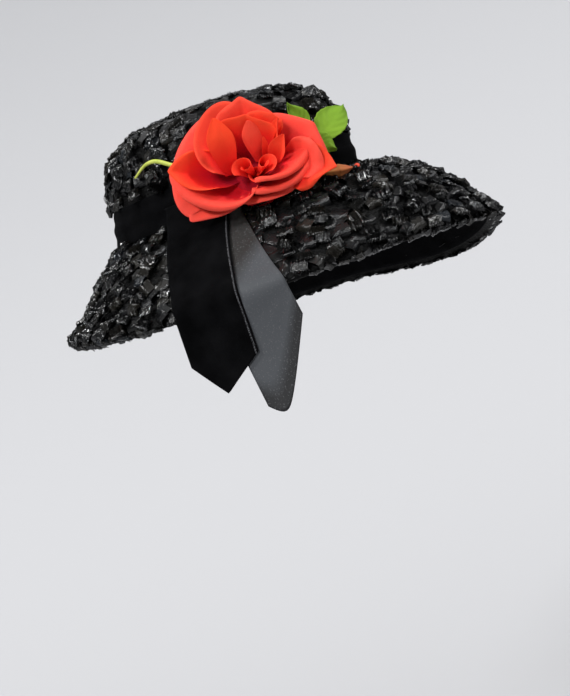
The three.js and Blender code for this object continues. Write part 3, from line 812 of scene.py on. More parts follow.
def make_tuft(number):
    """A strip pleated finely across, pinched at its near end like a fan, and crumpled."""
    chance = random.Random(TUFT_SEED + number)
    tuft = start_strip(f"tuft_{number}", 2 * TUFT_PLEATS, 4, TUFT_LENGTH, TUFT_WIDTH)
    cell = TUFT_LENGTH / (2 * TUFT_PLEATS)
    height = chance.uniform(*PLEAT_HEIGHT)
    select_points(tuft, lambda co: round((co.x + TUFT_LENGTH / 2) / cell) % 2 == 1)
    bpy.ops.transform.translate(value=(0, chance.uniform(-0.001, 0.001), height))
    select_points(tuft, lambda co: co.y < -0.4 * TUFT_WIDTH)
    pinch = chance.uniform(0.4, 0.8)
    bpy.ops.transform.resize(value=(pinch, 1, 0.5), center_override=(0, -TUFT_WIDTH / 2, 0))
    bpy.ops.transform.translate(value=(0, 0, -0.0008))
    select_points(tuft, lambda co: abs(co.y) < 0.1 * TUFT_WIDTH)
    shift = chance.uniform(-0.0008, 0.0008)
    bpy.ops.transform.translate(value=(shift, 0, chance.uniform(0.0002, 0.0016)))
    select_points(tuft, lambda co: co.y > 0.2 * TUFT_WIDTH)
    bpy.ops.transform.translate(value=(chance.uniform(-0.001, 0.001), 0, chance.uniform(-0.0016, 0.0004)))
    select_points(tuft, lambda co: co.y > 0.4 * TUFT_WIDTH)
    flare = chance.uniform(1, 1.25)
    bpy.ops.transform.resize(value=(flare, 1, 1), center_override=(0, TUFT_WIDTH / 2, 0))
    bpy.ops.mesh.select_all(action="SELECT")
    bpy.ops.transform.vertex_random(offset=TUFT_CRUMPLE, uniform=0, normal=0, seed=number)
    return close_strip(tuft, TUFT_SMOOTH)


tabs = [make_tab(number) for number in range(TAB_KINDS)]
tufts = [make_tuft(number) for number in range(TUFT_KINDS)]
print(TAB_KINDS, "tabs of", len(tabs[0].data.polygons), "faces")
print(TUFT_KINDS, "tufts of", len(tufts[0].data.polygons), "faces")


# %% Joining many copies into one mesh
def shape_arrays(shape):
    """The points, faces and UVs of a small mesh of quads."""
    mesh = shape.data
    faces = np.array([face.vertices[:] for face in mesh.polygons])
    uvs = np.zeros(len(mesh.loops) * 2)
    mesh.uv_layers.active.data.foreach_get("uv", uvs)
    return points_of(shape), faces, uvs.reshape(-1, 2)


def join_copies(name, shapes, placed):
    """One mesh from copies: placed holds (shape number, 3x3 turn and size, place, tone)."""
    parts = [shape_arrays(shape) for shape in shapes]
    points, faces, uvs, tones = [], [], [], []
    count = 0
    for number, turn, place, tone in placed:
        co, quads, uv = parts[number]
        points.append(co @ turn.T + place)
        faces.append(quads + count)
        uvs.append(uv)
        tones.append(np.full(len(co), tone))
        count += len(co)
    mesh = bpy.data.meshes.new(name)
    mesh.from_pydata(np.concatenate(points), [], np.concatenate(faces))
    mesh.uv_layers.new(name="UVMap").data.foreach_set("uv", np.concatenate(uvs).ravel())
    mesh.attributes.new("tone", "FLOAT", "POINT").data.foreach_set("value", np.concatenate(tones))
    piece = bpy.data.objects.new(name, mesh)
    bpy.context.scene.collection.objects.link(piece)
    return piece


def turned(along, slope, normal, spin, tilt, lean, size):
    """Lays a shape on a skin: spun on the spot, tilted up its slope and leaned along its row."""
    basis = Matrix((along, slope, normal)).transposed()
    moves = Matrix.Rotation(tilt, 3, "X") @ Matrix.Rotation(lean, 3, "Y") @ Matrix.Rotation(spin, 3, "Z")
    return np.array(basis @ moves @ Matrix.Diagonal(size))


print("joining ready")

# %% [markdown]
# The rows are laid from the outside in. Each holds tabs and tufts by turns, and each row starts half a
# step after its neighbour, as the plait does. Where a ribbon tail lies on the brim, the straw under it
# is pressed flatter.

# %% Rows of straw
STEP = 0.0245  # one tab and one tuft
TURN_SAMPLES = 241
SKIPPED_TABS = 0.35  # share of the lower layer's tabs that are left out
TAB_SPINS = (-0.65, -0.2, 0.2, 0.65)  # the plait turns its tabs diamond-wise
ROW_OFFSET = 0.5  # of a step, in every second row
LAYER_OFFSET = 0.25
STEP_JITTER = 0.2
ROW_JITTER = 0.1  # of a row
STRAW_SIZE = (0.85, 1.12)
TAB_JITTER, TUFT_SPIN, LEAN = 0.2, 0.6, 0.3  # radians, either way
TAB_TILT, TUFT_TILT = (0.1, 0.4), (-0.1, 0.4)
TAB_RISE = 0.0026
LAYER_RISE = 0.0008
TUFT_RISE = (0.0034, 0.0052)
TAB_SPREAD = 0.42  # between the two layers, as a share of a row
TUFT_SPREAD = 0.5
EDGE_SIZE = (0.5, 0.7)  # of the straw that wraps the brim's edge
EDGE_SIZE_PRESSED = (0.34, 0.42)
ROW_WIDTH = 0.0152
PRESSED_HEIGHT = 0.4  # of the straw's own, under the tails
PRESSED_HALF = math.radians(19)
FLAT_TOP_SHARES = (0.55, 0.72)  # where the crown turns into its flat, smoother top
FLAT_TOP_HEIGHT = 0.4
PRESSED_MIDDLE = (math.radians(85), math.radians(75))  # at the foot of the brim and at its edge


def row_shares(skin, first, last):
    """Shares of the slope that are one row apart, as measured on the wearer's right."""
    shares = np.linspace(first, last, 200)
    path = skin(shares, np.full(200, math.pi / 2))
    length = lengths_along(path)
    rows = max(1, round(length[-1] / ROW_WIDTH))
    return np.interp((np.arange(rows) + 0.5) * length[-1] / rows, length, shares)


def height_left(share, angle, pressed):
    """How much of the straw's height is left: less under the tails and on the crown's flat top."""
    if not pressed:
        return float(np.interp(share, FLAT_TOP_SHARES, (1.0, FLAT_TOP_HEIGHT)))
    middle = PRESSED_MIDDLE[0] + (PRESSED_MIDDLE[1] - PRESSED_MIDDLE[0]) * share
    return PRESSED_HEIGHT * min(1, 1.6 - 0.8 * share) if abs(angle - middle) < PRESSED_HALF else 1.0


def straw_rows(skin, shares, pressed, chance):
    """Where the tabs and the tufts of a skin go."""
    placed_tabs, placed_tufts = [], []
    turn = np.linspace(0, 2 * math.pi, TURN_SAMPLES)
    row_share = abs(shares[1] - shares[0])
    for row, share in enumerate(shares):
        length = lengths_along(skin(np.full(TURN_SAMPLES, share), turn))
        count = max(3, round(length[-1] / STEP))
        for step in range(2 * count):
            is_tuft = step % 2 == 1
            for layer in range(2):
                if not is_tuft and layer == 0 and chance.random() < SKIPPED_TABS:
                    continue
                jitter = chance.uniform(-STEP_JITTER, STEP_JITTER)
                steps_on = step + (row % 2) * ROW_OFFSET + jitter + LAYER_OFFSET * (layer - 0.5)
                at = steps_on * length[-1] / (2 * count)
                angle = float(np.interp(at % length[-1], length, turn))
                flat = height_left(share, angle, pressed)
                spread = TUFT_SPREAD if is_tuft else TAB_SPREAD
                across = (layer - 0.5) * spread + chance.uniform(-ROW_JITTER, ROW_JITTER)
                spot = float(np.clip(share + across * row_share, 0.004, 1.0))
                place, along, slope, normal = skin_frame(skin, spot, angle)
                size = chance.uniform(*STRAW_SIZE)
                if is_tuft:
                    spin = chance.uniform(-TUFT_SPIN, TUFT_SPIN)
                    tilt = chance.uniform(*TUFT_TILT) * flat
                    rise = chance.uniform(*TUFT_RISE) * flat
                    scale = (size, size, size * flat * chance.uniform(0.9, 1.3))
                else:
                    spin = chance.choice(TAB_SPINS) + chance.uniform(-TAB_JITTER, TAB_JITTER)
                    tilt = chance.uniform(*TAB_TILT) * flat
                    rise = (TAB_RISE + LAYER_RISE * layer) * flat
                    scale = (size, size, size * flat)
                lean = chance.uniform(-LEAN, LEAN) * flat
                turned_by = turned(along, slope, normal, spin, tilt, lean, scale)
                kind = chance.randrange(TUFT_KINDS if is_tuft else TAB_KINDS)
                placed = placed_tufts if is_tuft else placed_tabs
                placed.append((kind, turned_by, place + normal * rise, chance.random()))
    return placed_tabs, placed_tufts


def edge_row(skin, chance):
    """Small tabs and tufts that wrap the brim's edge and show as scallops below it."""
    placed_tabs, placed_tufts = [], []
    turn = np.linspace(0, 2 * math.pi, TURN_SAMPLES)
    length = lengths_along(skin(np.ones(TURN_SAMPLES), turn))
    count = 2 * round(length[-1] / STEP)
    for step in range(2 * count):
        at = (step + chance.uniform(0, 0.6)) * length[-1] / (2 * count)
        angle = float(np.interp(at, length, turn))
        place, along, _, normal = skin_frame(skin, 1.0, angle)
        over = unit(place - skin(0.97, angle))
        under_tail = abs(angle - PRESSED_MIDDLE[1]) < PRESSED_HALF
        is_tuft = step % 4 > 1 and not under_tail
        size = chance.uniform(*(EDGE_SIZE_PRESSED if under_tail else EDGE_SIZE))
        spin = chance.uniform(-TUFT_SPIN, TUFT_SPIN) + (0 if is_tuft else math.pi / 4)
        hang = chance.uniform(-0.0012, 0.0006)
        tilt, lean = chance.uniform(0.1, 0.5), chance.uniform(-0.2, 0.2)
        turned_by = turned(along, normal, over, spin, tilt, lean, (size,) * 3)
        kind = chance.randrange(TUFT_KINDS if is_tuft else TAB_KINDS)
        spot = place + normal * hang + over * (chance.uniform(0.0002, 0.0012) - 0.0016 * under_tail)
        (placed_tufts if is_tuft else placed_tabs).append((kind, turned_by, spot, chance.random()))
    return placed_tabs, placed_tufts


def dress(name, skin, shares, pressed, seed):
    """The tabs and the tufts of one skin, as two pieces."""
    placed_tabs, placed_tufts = straw_rows(skin, shares, pressed, random.Random(seed))
    if pressed:
        edge_tabs, edge_tufts = edge_row(skin, random.Random(seed + 1))
        placed_tabs += edge_tabs
        placed_tufts += edge_tufts
    for kind, shapes, placed, material, smooth in (
        ("tabs", tabs, placed_tabs, straw, TAB_SMOOTH),
        ("tufts", tufts, placed_tufts, crimped_straw, TUFT_SMOOTH),
    ):
        finish_piece(join_copies(f"{name}_{kind}", shapes, placed), material, smooth_angle=smooth)
    print(name, len(shares), "rows,", len(placed_tabs), "tabs,", len(placed_tufts), "tufts")


BAND_TOP_SHARE = 0.215  # of the crown's slope: the rows start here, and the band covers what is below
dress("brim", brim_skin, row_shares(brim_skin, 0.03, 0.985), True, 7)
dress("crown", crown_skin, row_shares(crown_skin, BAND_TOP_SHARE, 0.98), False, 11)
for shape in tabs + tufts:
    bpy.data.objects.remove(shape)

# %% [markdown]
# ## Velvet facing and band
# The underside of the brim is faced with velvet, cut in the round and pulled smooth. The band is one
# ribbon pulled round the foot of the crown, with a few shallow folds along it. Both are sheets.

# %% Facing
FACING_THICKNESS = 0.001
FACING_MARGIN = 0.005 / BRIM_REACH[1]


def facing_surface(u, v):
    """The brim's inner face: u runs round it, v from the crown to the edge."""
    share = FACING_MARGIN + (1 - 2 * FACING_MARGIN) * v
    return lifted(brim_skin, share, 2 * math.pi * u, -(STRAW_WALL + GAP + FACING_THICKNESS / 2))


facing, facing_area = cloth_piece(
    "velvet_facing", facing_surface, across=160, along=24, thickness=FACING_THICKNESS, closed=True
)
finish_piece(facing, velvet, ["brim_facing"])
print("facing area", round(facing_area, 4))

# %% Band
BAND_WIDTH = 0.025
BAND_THICKNESS = 0.0012
BAND_LIFT = 0.0015
FOLD_HEIGHT = 0.0006
ROW_RISE = 0.0016


def crown_share_at(height):
    """The share of the crown's side at a height above its foot."""
    shares = np.linspace(0, 1, 400)
    return float(np.interp(height, CROWN_HEIGHT * smooth_column(CROWN_SECTIONS["side_up"], shares), shares))


band_from, band_to = crown_share_at(BAND_LIFT), crown_share_at(BAND_LIFT + BAND_WIDTH)
BAND_OUT = ROW_RISE + GAP + BAND_THICKNESS / 2


def band_surface(u, v):
    """The foot of the crown, with shallow folds: u runs round it, v up it."""
    angle = 2 * math.pi * u
    waver = 0.6 * np.sin(3 * angle + 0.7) + 0.4 * np.sin(7 * angle + 2)
    folds = FOLD_HEIGHT * np.sin(2 * math.pi * (2.2 * v + 0.25 * waver)) * np.sin(math.pi * v)
    share = band_from + (band_to - band_from) * v
    return lifted(crown_skin, share, angle, (BAND_OUT + folds)[..., None])


band, band_area = cloth_piece(
    "velvet_band", band_surface, across=180, along=20, thickness=BAND_THICKNESS, closed=True
)
finish_piece(band, velvet, ["hat_band"])
print("band area", round(band_area, 5), "which is", round(band_area / BAND_WIDTH, 3), "metres of ribbon")

# %% [markdown]
# ## Ribbon tails
# Two ends of the ribbon leave the band under the rose, lie over the brim and hang off its edge, cut to
# slanting points. Each is a family of smooth paths from band to tip, one for each place across the
# ribbon, so its outline, its bend at the brim's edge and its cut come from a few shares of its width.

# %% Tail paths
TAIL_WIDTH = 0.050
TAIL_THICKNESS = 0.001
TAIL_HANG = 0.087
TAIL_LIFT = 0.005
ON_BRIM = (0.22, 0.42, 0.62, 0.82)  # shares of the brim's slope that a tail's path passes
EDGE_SHARE = 0.98  # where it leaves the brim
HANGING = (0, 0.3, 0.65, 1)  # shares of what hangs free
TAILS = columns(
    "layer start edge hang drift apex cut_front cut_back round",
    [
        (0, 82, 69, 1.0, 0.52, 0.62, 2.35, 0.28, 0.24),
        (1, 85, 81, 0.74, 0.0, 0.16, 0.84, 1.0, 0.0),
    ],
)


def smooth_path(points, samples=160):
    """A centripetal Catmull-Rom curve through points, as points and their lengths along it."""
    points = np.asarray(points, float)
    ends = [2 * points[0] - points[1], *points, 2 * points[-1] - points[-2]]
    curve = []
    for a, b, c, d in zip(ends, ends[1:], ends[2:], ends[3:]):
        steps = [max(np.linalg.norm(q - p), 1e-9) ** 0.5 for p, q in ((a, b), (b, c), (c, d))]
        knots = np.cumsum([0, *steps])
        t = np.linspace(knots[1], knots[2], samples // (len(points) - 1), endpoint=False)[:, None]
        mix = lambda p, q, i, j: ((knots[j] - t) * p + (t - knots[i]) * q) / (knots[j] - knots[i])
        ab, bc, cd = mix(a, b, 0, 1), mix(b, c, 1, 2), mix(c, d, 2, 3)
        curve.append(mix(mix(ab, bc, 0, 2), mix(bc, cd, 1, 3), 1, 2))
    curve = np.concatenate([*curve, points[-1:]])
    return curve, lengths_along(curve)


def along_path(path, share):
    """Points at shares of a path's length."""
    curve, lengths = path
    return np.stack([np.interp(share * lengths[-1], lengths, curve[:, axis]) for axis in range(3)], -1)


def path_heading(path, share, reach):
    """The direction of a path, from a little before a share of it to a little after."""
    ahead, behind = np.clip(share + reach, 0, 1), np.clip(share - reach, 0, 1)
    return unit(along_path(path, ahead) - along_path(path, behind))


def tail_paths(tail, across_places):
    """One path for each place across the ribbon, from -1 at the front to 1 at the back."""
    row = {name: float(column[tail]) for name, column in TAILS.items()}
    half = TAIL_WIDTH / 2
    free_length = TAIL_HANG * row["hang"]
    layer_lift = row["layer"] * (TAIL_THICKNESS + 3 * GAP)
    lift = TAIL_LIFT + layer_lift
    band_lift = BAND_OUT + BAND_THICKNESS / 2 + GAP + TAIL_THICKNESS / 2 + layer_lift
    start, edge = math.radians(row["start"]), math.radians(row["edge"])
    paths = []
    for across in across_places:
        def on_skin(skin, share, offset):
            along = start + (edge - start) * (share if skin is brim_skin else 0)
            speed = np.linalg.norm(skin(share, along + 0.01) - skin(share, along - 0.01)) / 0.02
            return lifted(skin, share, along + across * half / speed, offset)
        if across < row["apex"]:
            corner, cut = 1 + row["apex"], row["cut_front"]
        else:
            corner, cut = 1 - row["apex"], row["cut_back"]
        blunt = lambda x: math.hypot(x, row["round"]) - row["round"]
        drop = free_length - half * cut * blunt(across - row["apex"]) / blunt(corner)
        forward = np.cross(outward(np.array(edge)), [0, 0, -1]) * half * row["drift"] / free_length
        last = on_skin(brim_skin, EDGE_SHARE, lift)
        band_share = crown_share_at(BAND_LIFT + BAND_WIDTH / 2)
        points = [on_skin(crown_skin, band_share, band_lift)]
        points += [on_skin(brim_skin, share, lift) for share in ON_BRIM]
        points += [last + (np.array([0, 0, -1]) + forward) * drop * share for share in HANGING]
        paths.append(smooth_path(points))
    return paths


# %% Tails
TAIL_COLUMNS = 24
TAIL_ROWS = 90
SWAY_ANGLE = math.radians(76.0)


def tail_surface(tail, wave, phase):
    """A surface for the ribbon, with a slow wave where it hangs free."""
    places = np.linspace(-1, 1, TAIL_COLUMNS + 1)
    paths = tail_paths(tail, places)

    def surface(u, v):
        column = np.rint(u * TAIL_COLUMNS).astype(int)
        points = np.zeros((len(u), 3))
        for number, path in enumerate(paths):
            chosen = column == number
            points[chosen] = along_path(path, v[chosen])
        free = np.clip((v - 0.45) / 0.4, 0, 1) ** 2
        sway = wave * free * np.sin(math.pi * (1.3 * u + 1.1 * v) + phase)
        ripple = 0.25 * wave * np.sin(9 * v + 4 * u + phase) * np.clip(v * 4, 0, 1)
        out = outward(np.full(len(u), SWAY_ANGLE))
        return points + out * (sway + ripple)[:, None]

    longest = max(lengths[-1] for _, lengths in paths)
    return surface, longest


def make_tail(name, tail, material, wave, phase):
    """One ribbon tail as a sheet, with its length at its longest and its area."""
    surface, longest = tail_surface(tail, wave, phase)
    piece, area = cloth_piece(name, surface, TAIL_COLUMNS, TAIL_ROWS, TAIL_THICKNESS * 0.7)
    finish_piece(piece, material, [name.replace("ribbon_", "") + "_tail"])
    print(name, "is", round(longest, 4), "metres long, area", round(area, 5))
    return piece, longest, area


satin_ribbon, satin_length, satin_area = make_tail("ribbon_satin", 0, satin, 0.0016, 0.4)
velvet_ribbon, velvet_length, velvet_area = make_tail(
    "ribbon_velvet", 1, ribbon_velvet, 0.0012, 2.2
)

# %% [markdown]
# ## Rose
# The flower faces away from the crown. It isn't a regular one: its outer petals lie open on the brim
# and the crown and reach far to the left and right, the lower ones are turned back over their rims, and
# the inner ones stand upright round a curled heart. So each petal is a grid laid on a bowl of its own.
# A table gives, for the two corners and the middle of its rim, how far it reaches and how high it rises.

# %% Rose frame
ROSE_ANGLE = math.radians(58)
ROSE_FOOT = 0.009
ROSE_TILT = math.radians(12)
NECK_LENGTH = 0.014
NECK_RADIUS = 0.005
PAD_RADIUS = 0.021
PETAL_THICKNESS = 0.0004

rose_outward = Vector(outward(np.array(ROSE_ANGLE)))
rose_axis = rose_outward * math.cos(ROSE_TILT) + Vector((0, 0, math.sin(ROSE_TILT)))
rose_up = -rose_outward * math.sin(ROSE_TILT) + Vector((0, 0, math.cos(ROSE_TILT)))
rose_level = rose_up.cross(rose_axis)
stand_off = GAP + NECK_LENGTH * math.cos(ROSE_TILT) + NECK_RADIUS * math.sin(ROSE_TILT)
rose_foot = lifted(crown_skin, crown_share_at(ROSE_FOOT), ROSE_ANGLE, BAND_OUT + BAND_THICKNESS / 2)
neck_rise = Vector((0, 0, NECK_LENGTH * math.sin(ROSE_TILT)))
rose_place = Vector(rose_foot) + rose_outward * stand_off + neck_rise
ROSE_TURN = np.array([rose_level, rose_up, rose_axis])
print("rose at", [round(x, 4) for x in rose_place])


def round_point(radius, angle, height):
    """Points round the rose's axis."""
    return np.stack([radius * np.cos(angle), radius * np.sin(angle), height], -1)


def in_rose(points):
    """Points of the rose's own frame in the hat's frame."""
    return np.asarray(points) @ ROSE_TURN + np.array(rose_place)


# %% [markdown]
# In the table, heading and spread are in degrees round the flower, from the front of the hat upwards.
# Reach and rise are in millimetres, at the start, the middle and the end of the rim, and point is how far
# a corner sticks out of it, at a place from -1 to 1. Seat is where the petal's foot stands, out and up say
# how its wall swells on the way, band and roll how much of its rim is turned back and by how many
# degrees, and tone runs from orange inside the flower to coral outside.

# %% Open petals
PETAL_COLUMNS = (
    "heading spread reach_a reach reach_b point point_at "
    "rise_a rise rise_b seat out up band_a band_b roll ruffle tone"
).split()
OPEN_PETALS = {
    "outer_1": (24, 40, 49, 44, 40, 6, -0.03, 14, 15, 16, 15, 0.3, 0.75, 10, 8, 105, 0.8, 0.9),
    "outer_2": (84, 38, 37, 39, 50, 5, -0.1, 16, 17, 16, 15, 0.3, 0.8, 4, 4, 60, 0.8, 0.7),
    "outer_3": (146, 50, 53, 55, 60, 0, 0, 13, 12, 10, 16, 0.35, 0.8, 4, 4, 50, 0.7, 1.0),
    "outer_4": (276, 56, 21, 19, 30, 0, 0, 9, 12, 13, 14, 0.2, 0.6, 6, 6, 70, 0.6, 0.9),
    "outer_5": (206, 32, 56, 39, 17, 13, -0.22, 8, 9, 10, 14, 0.4, 0.6, 3, 3, 40, 0.8, 1.0),
    "wide_1": (342, 26, 34, 46, 45, 9, 0, 17, 20, 18, 13, 0.35, 0.55, 4, 4, 70, 2.8, 0.15),
    "wide_2": (210, 52, 58, 33, 13, 0, 0, 14, 17, 19, 10, 0.5, 0.3, 15, 2, 115, 0.5, 0.9),
    "wide_3": (128, 40, 54, 48, 30, 0, 0, 22, 21, 20, 11, 0.4, 0.5, 3, 3, 40, 0.6, 0.4),
    "wide_4": (78, 35, 38, 43, 46, 8, 0.15, 21, 22, 21, 11, 0.4, 0.5, 3, 3, 40, 0.8, 0.5),
    "wide_5": (355, 25, 38, 42, 35, 0, 0, 19, 21, 22, 11, 0.5, 0.35, 9, 5, 90, 0.8, 0.8),
    "middle_1": (163, 27, 34, 53, 30, 6, 0, 19, 20, 20, 8, 0.6, 0.35, 3, 4, 70, 0.4, 0.05),
    "middle_2": (313, 60, 9, 15, 46, 0, 0, 24, 24, 20, 6, 0.3, 0.5, 5, 10, 130, 0.5, 0.8),
    "middle_3": (304, 60, 15, 21, 45, 0, 0, 19, 19, 18, 8, 0.3, 0.5, 5, 8, 120, 0.6, 0.9),
    "middle_4": (60, 24, 36, 38, 37, 0, 0, 25, 25, 25, 8, 0.45, 0.4, 3, 3, 50, 1.0, 0.2),
    "top": (77, 37, 33, 32, 42, 4, 0.1, 26, 27, 28, 7, 0.45, 0.45, 2, 2, 30, 0.9, 0.1),
}
MM = 0.001
ROLL_STEPS = 10
FOOT_WIDTH, WIDENING = 0.55, 0.45  # shares of the spread: at the foot, and gained on the way up
WIDE_FROM = 0.6  # of the way up, from where a petal has its whole spread
CORNER_CUT = 0.12  # how far the rim's corners are rounded off
CORNER_SAG = 0.1
POINT_BREADTH = 0.28
RUFFLED_FROM = 0.35  # of the way up
CRUMPLE = 0.45


def rim_value(start, middle, end, across):
    """A smooth curve through a start at -1, a middle at 0 and an end at 1."""
    return middle + (end - start) / 2 * across + ((start + end) / 2 - middle) * across**2


def open_petal_surface(petal, seed):
    """A surface up the petal's bowl and over its rolled rim: u runs round it, v from the foot."""
    chance = random.Random(seed)
    waves, phase = chance.uniform(2.2, 3.6), chance.uniform(0, 6.3)

    def surface(u, v):
        across = 2 * u - 1
        width = np.where(v < WIDE_FROM, FOOT_WIDTH + WIDENING * np.sin(math.pi / 2 * v / WIDE_FROM), 1)
        corner = 1 - CORNER_CUT * np.abs(across) ** 6 * v
        direction = np.radians(petal.heading + across * petal.spread * width)
        sharp = petal.point * np.exp(-np.abs(across - petal.point_at) / POINT_BREADTH)
        far = (rim_value(petal.reach_a, petal.reach, petal.reach_b, across) + sharp) * corner
        band = petal.band_a + (petal.band_b - petal.band_a) * u
        sag = 1 - CORNER_SAG * np.abs(across) ** 4
        high = rim_value(petal.rise_a, petal.rise, petal.rise_b, across) * sag
        length = np.hypot(far - petal.seat, high)
        fold = length / (length + band)
        w = np.clip(v / fold, 0, 1)
        middle_far, middle_high = petal.seat + (far - petal.seat) * petal.out, high * petal.up
        radius = (1 - w) ** 2 * petal.seat + 2 * w * (1 - w) * middle_far + w**2 * far
        height = 2 * w * (1 - w) * middle_high + w**2 * high
        lean = np.arctan2(far - middle_far, high - middle_high)
        past = np.clip((v - fold) / (1 - fold), 0, 1)
        for step in range(ROLL_STEPS):
            turned_to = lean + math.radians(petal.roll) * past * (step + 0.5) / ROLL_STEPS
            radius = radius + np.sin(turned_to) * band * past / ROLL_STEPS
            height = height + np.cos(turned_to) * band * past / ROLL_STEPS
        edge = np.clip((v - RUFFLED_FROM) / 0.65, 0, 1) ** 2
        ruffle = petal.ruffle * edge * np.sin(waves * math.pi * u + phase)
        ripple = ruffle + 0.4 * np.sin(9 * u + phase) * v * (1 - v)
        crumple = CRUMPLE * edge * np.sin(17 * u + 5 * v + 2 * phase) * np.sin(11 * v - 6 * u + phase)
        height = height + ripple + crumple + 0.4
        radius = radius - 0.5 * ripple
        return in_rose(MM * round_point(radius, direction, height))

    return surface


def finish_petal(petal, nodes, tone):
    """Gives a petal one tone, between orange and coral, and its cloth."""
    mesh = petal.data
    tones = np.full(len(mesh.vertices), tone)
    mesh.attributes.new("tone", "FLOAT", "POINT").data.foreach_set("value", tones)
    finish_piece(petal, petal_cloth, nodes)


for seed, (name, row) in enumerate(OPEN_PETALS.items()):
    values = SimpleNamespace(**dict(zip(PETAL_COLUMNS, row)))
    surface = open_petal_surface(values, seed)
    # Painted shade: the cloth is darker towards the petal's foot, down in the heart.
    shade = lambda u, v: np.clip(1.45 * v - 0.4, 0, 1)
    petal, _ = cloth_piece(f"rose_petal_{name}", surface, 32, 26, PETAL_THICKNESS, 1, painted_shade=shade)
    finish_petal(petal, [] if name == "top" else [f"petal_{name}"], values.tone)


def floor_surface(u, v):
    """A round of cloth that covers the pad under the petals, a little domed."""
    radius = PAD_RADIUS * 1.05 * np.sqrt(np.maximum(v, 1e-4))
    angle = 2 * math.pi * u
    return in_rose(round_point(radius, angle, 0.0032 - 0.0022 * v))


# Painted shade: the cloth over the pad is darkest, as the shade under the petals.
shade = lambda u, v: 0.3 * v
floor_cloth, _ = cloth_piece("rose_floor", floor_surface, 32, 6, PETAL_THICKNESS, closed=True, painted_shade=shade)
finish_petal(floor_cloth, [], 0.0)

# %% [markdown]
# The innermost petals stand like blades round the heart, each on a line of its own from foot to tip,
# cupped across and twisted on the way.

# %% Standing petals and heart
STANDING_PETALS = {
    # node: foot x y z, tip x y z, width, cup, twist in degrees, bend, tone
    "inner_1": (-17, 5, 8, -16, 41, 31, 20, 0.2, 20, -6, 0.0),
    "inner_2": (6, 8, 6, 6, 32, 29, 15, -0.4, -15, -4, 0.5),
    "inner_3": (9, 7, 8, 27, 26, 31, 13, 0.4, 110, 3, 0.15),
    "side": (14, 3, 6, 27, 14, 28, 13, 0.5, 20, -2, 0.2),
}


def standing_petal_surface(row):
    """A surface along a line from foot to tip: u runs across the petal, v up it."""
    foot, tip = np.array(row[0:3], float), np.array(row[3:6], float)
    width, cup, twist, bend, _ = row[6:]

    def surface(u, v):
        across = 2 * u - 1
        line = foot + (tip - foot) * v[:, None]
        line[:, 2] += -bend * np.sin(math.pi * v)
        forward = unit(tip - foot)
        side = unit(np.cross(forward, [0, 0, 1.0]))
        face = np.cross(side, forward)
        turn = np.radians(twist) * (v - 0.5)
        belly = 0.45 + 0.55 * np.sin(math.pi * np.clip(v, 0, 1) ** 1.15)
        taper = np.sqrt(1 - np.clip(v - 0.55, 0, 1) ** 2 * 4.6)
        half = width / 2 * belly * taper
        x = across * half
        z = cup * half * across**2 + 0.5 * np.sin(5 * u + 3 * v)
        offset_x = x * np.cos(turn) - z * np.sin(turn)
        offset_z = x * np.sin(turn) + z * np.cos(turn)
        return in_rose(MM * (line + side * offset_x[:, None] + face * offset_z[:, None]))

    return surface


for name, row in STANDING_PETALS.items():
    # Painted shade: darker towards the foot of each standing petal.
    shade = lambda u, v: 0.45 + 0.55 * np.clip(1.6 * v, 0, 1)
    surface = standing_petal_surface(row)
    petal, _ = cloth_piece(f"rose_petal_{name}", surface, 14, 22, PETAL_THICKNESS, 1, painted_shade=shade)
    finish_petal(petal, [] if name == "side" else [f"petal_{name}"], row[-1])

HEART_CURLS = [
    # centre x y, radius, height, turns, turned by, opening lean
    (-7, 4, 6.0, 23, 1.2, 2.4, 3.5),
    (9, 1, 5.8, 25, -1.3, 0.6, 3.0),
    (1, -2, 6.0, 17, 1.2, 4.2, 3.0),
]


def curl_surface(row):
    """A strip wound up on itself: u goes round the curl and v up it."""
    x, y, size, height, turns, start, lean = row

    def surface(u, v):
        angle = 2 * math.pi * turns * u + start
        radius = size * (0.25 + 0.75 * u) * (0.6 + 0.4 * v) + lean * v**3 * u
        rise = height * v * (0.86 + 0.14 * np.cos(angle + 1)) + 0.8
        curl = np.stack([x * v + radius * np.cos(angle), y * v + radius * np.sin(angle), rise], -1)
        return in_rose(MM * curl)

    return surface


# Painted shade: darker towards the foot of each curl.
shade = lambda u, v: 0.25 + 0.65 * v
curls = [
    cloth_piece(f"curl_{i}", curl_surface(row), 44, 14, PETAL_THICKNESS, 1, painted_shade=shade)[0]
    for i, row in enumerate(HEART_CURLS)
]
activate(curls[0])
for curl in curls[1:]:
    curl.select_set(True)
bpy.ops.object.join()
curls[0].name = "rose_heart_curls"
finish_petal(curls[0], ["rose_heart"], 0.2)

# %% [markdown]
# ## Leaves, stem and bud
# The leaves are pressed cloth with a folded midrib and saw-toothed edges. The stem and the bud's stalk
# are wires that start under the flower.

# %% Sprig sizes and paths
LEAF_REACH = 0.088
LEAF_THICKNESS = 0.001
STALK_RADIUS = 0.0011
STEM_REACH = 0.084
STEM_RADIUS = 0.0016
BUD_REACH = 0.072
BUD_RADIUS = 0.0046
PAD_RIM = 0.002
SPRIG_START = 0.3  # of the way up the neck's cone
TEETH, TOOTH_DEPTH = 26, 0.05
MIDRIB_FOLD = 0.28
VEINS, VEIN_SLANT, VEIN_HEIGHT = 34, 0.35, 0.00035
LEAF_DROOP = 0.0025
SEPALS, SEPAL_DEPTH, SEPALS_FROM = 5, 0.12, 0.62
LEAVES = columns(
    "turn base_x base_y base_z tip_x tip_y tip_z width sharp widest",
    [
        (50, 0.5, 0.3, -0.1, 0.435, 0.53, -0.04, 0.14, 1.15, 0.75),
        (27, 0.55, 0.19, -0.19, 0.89, 0.446, -0.27, 0.25, 0.8, 1.2),
        (5, 0.53, 0.17, -0.11, 0.7, 0.045, -0.11, 0.16, 1.1, 0.75),
    ],
)
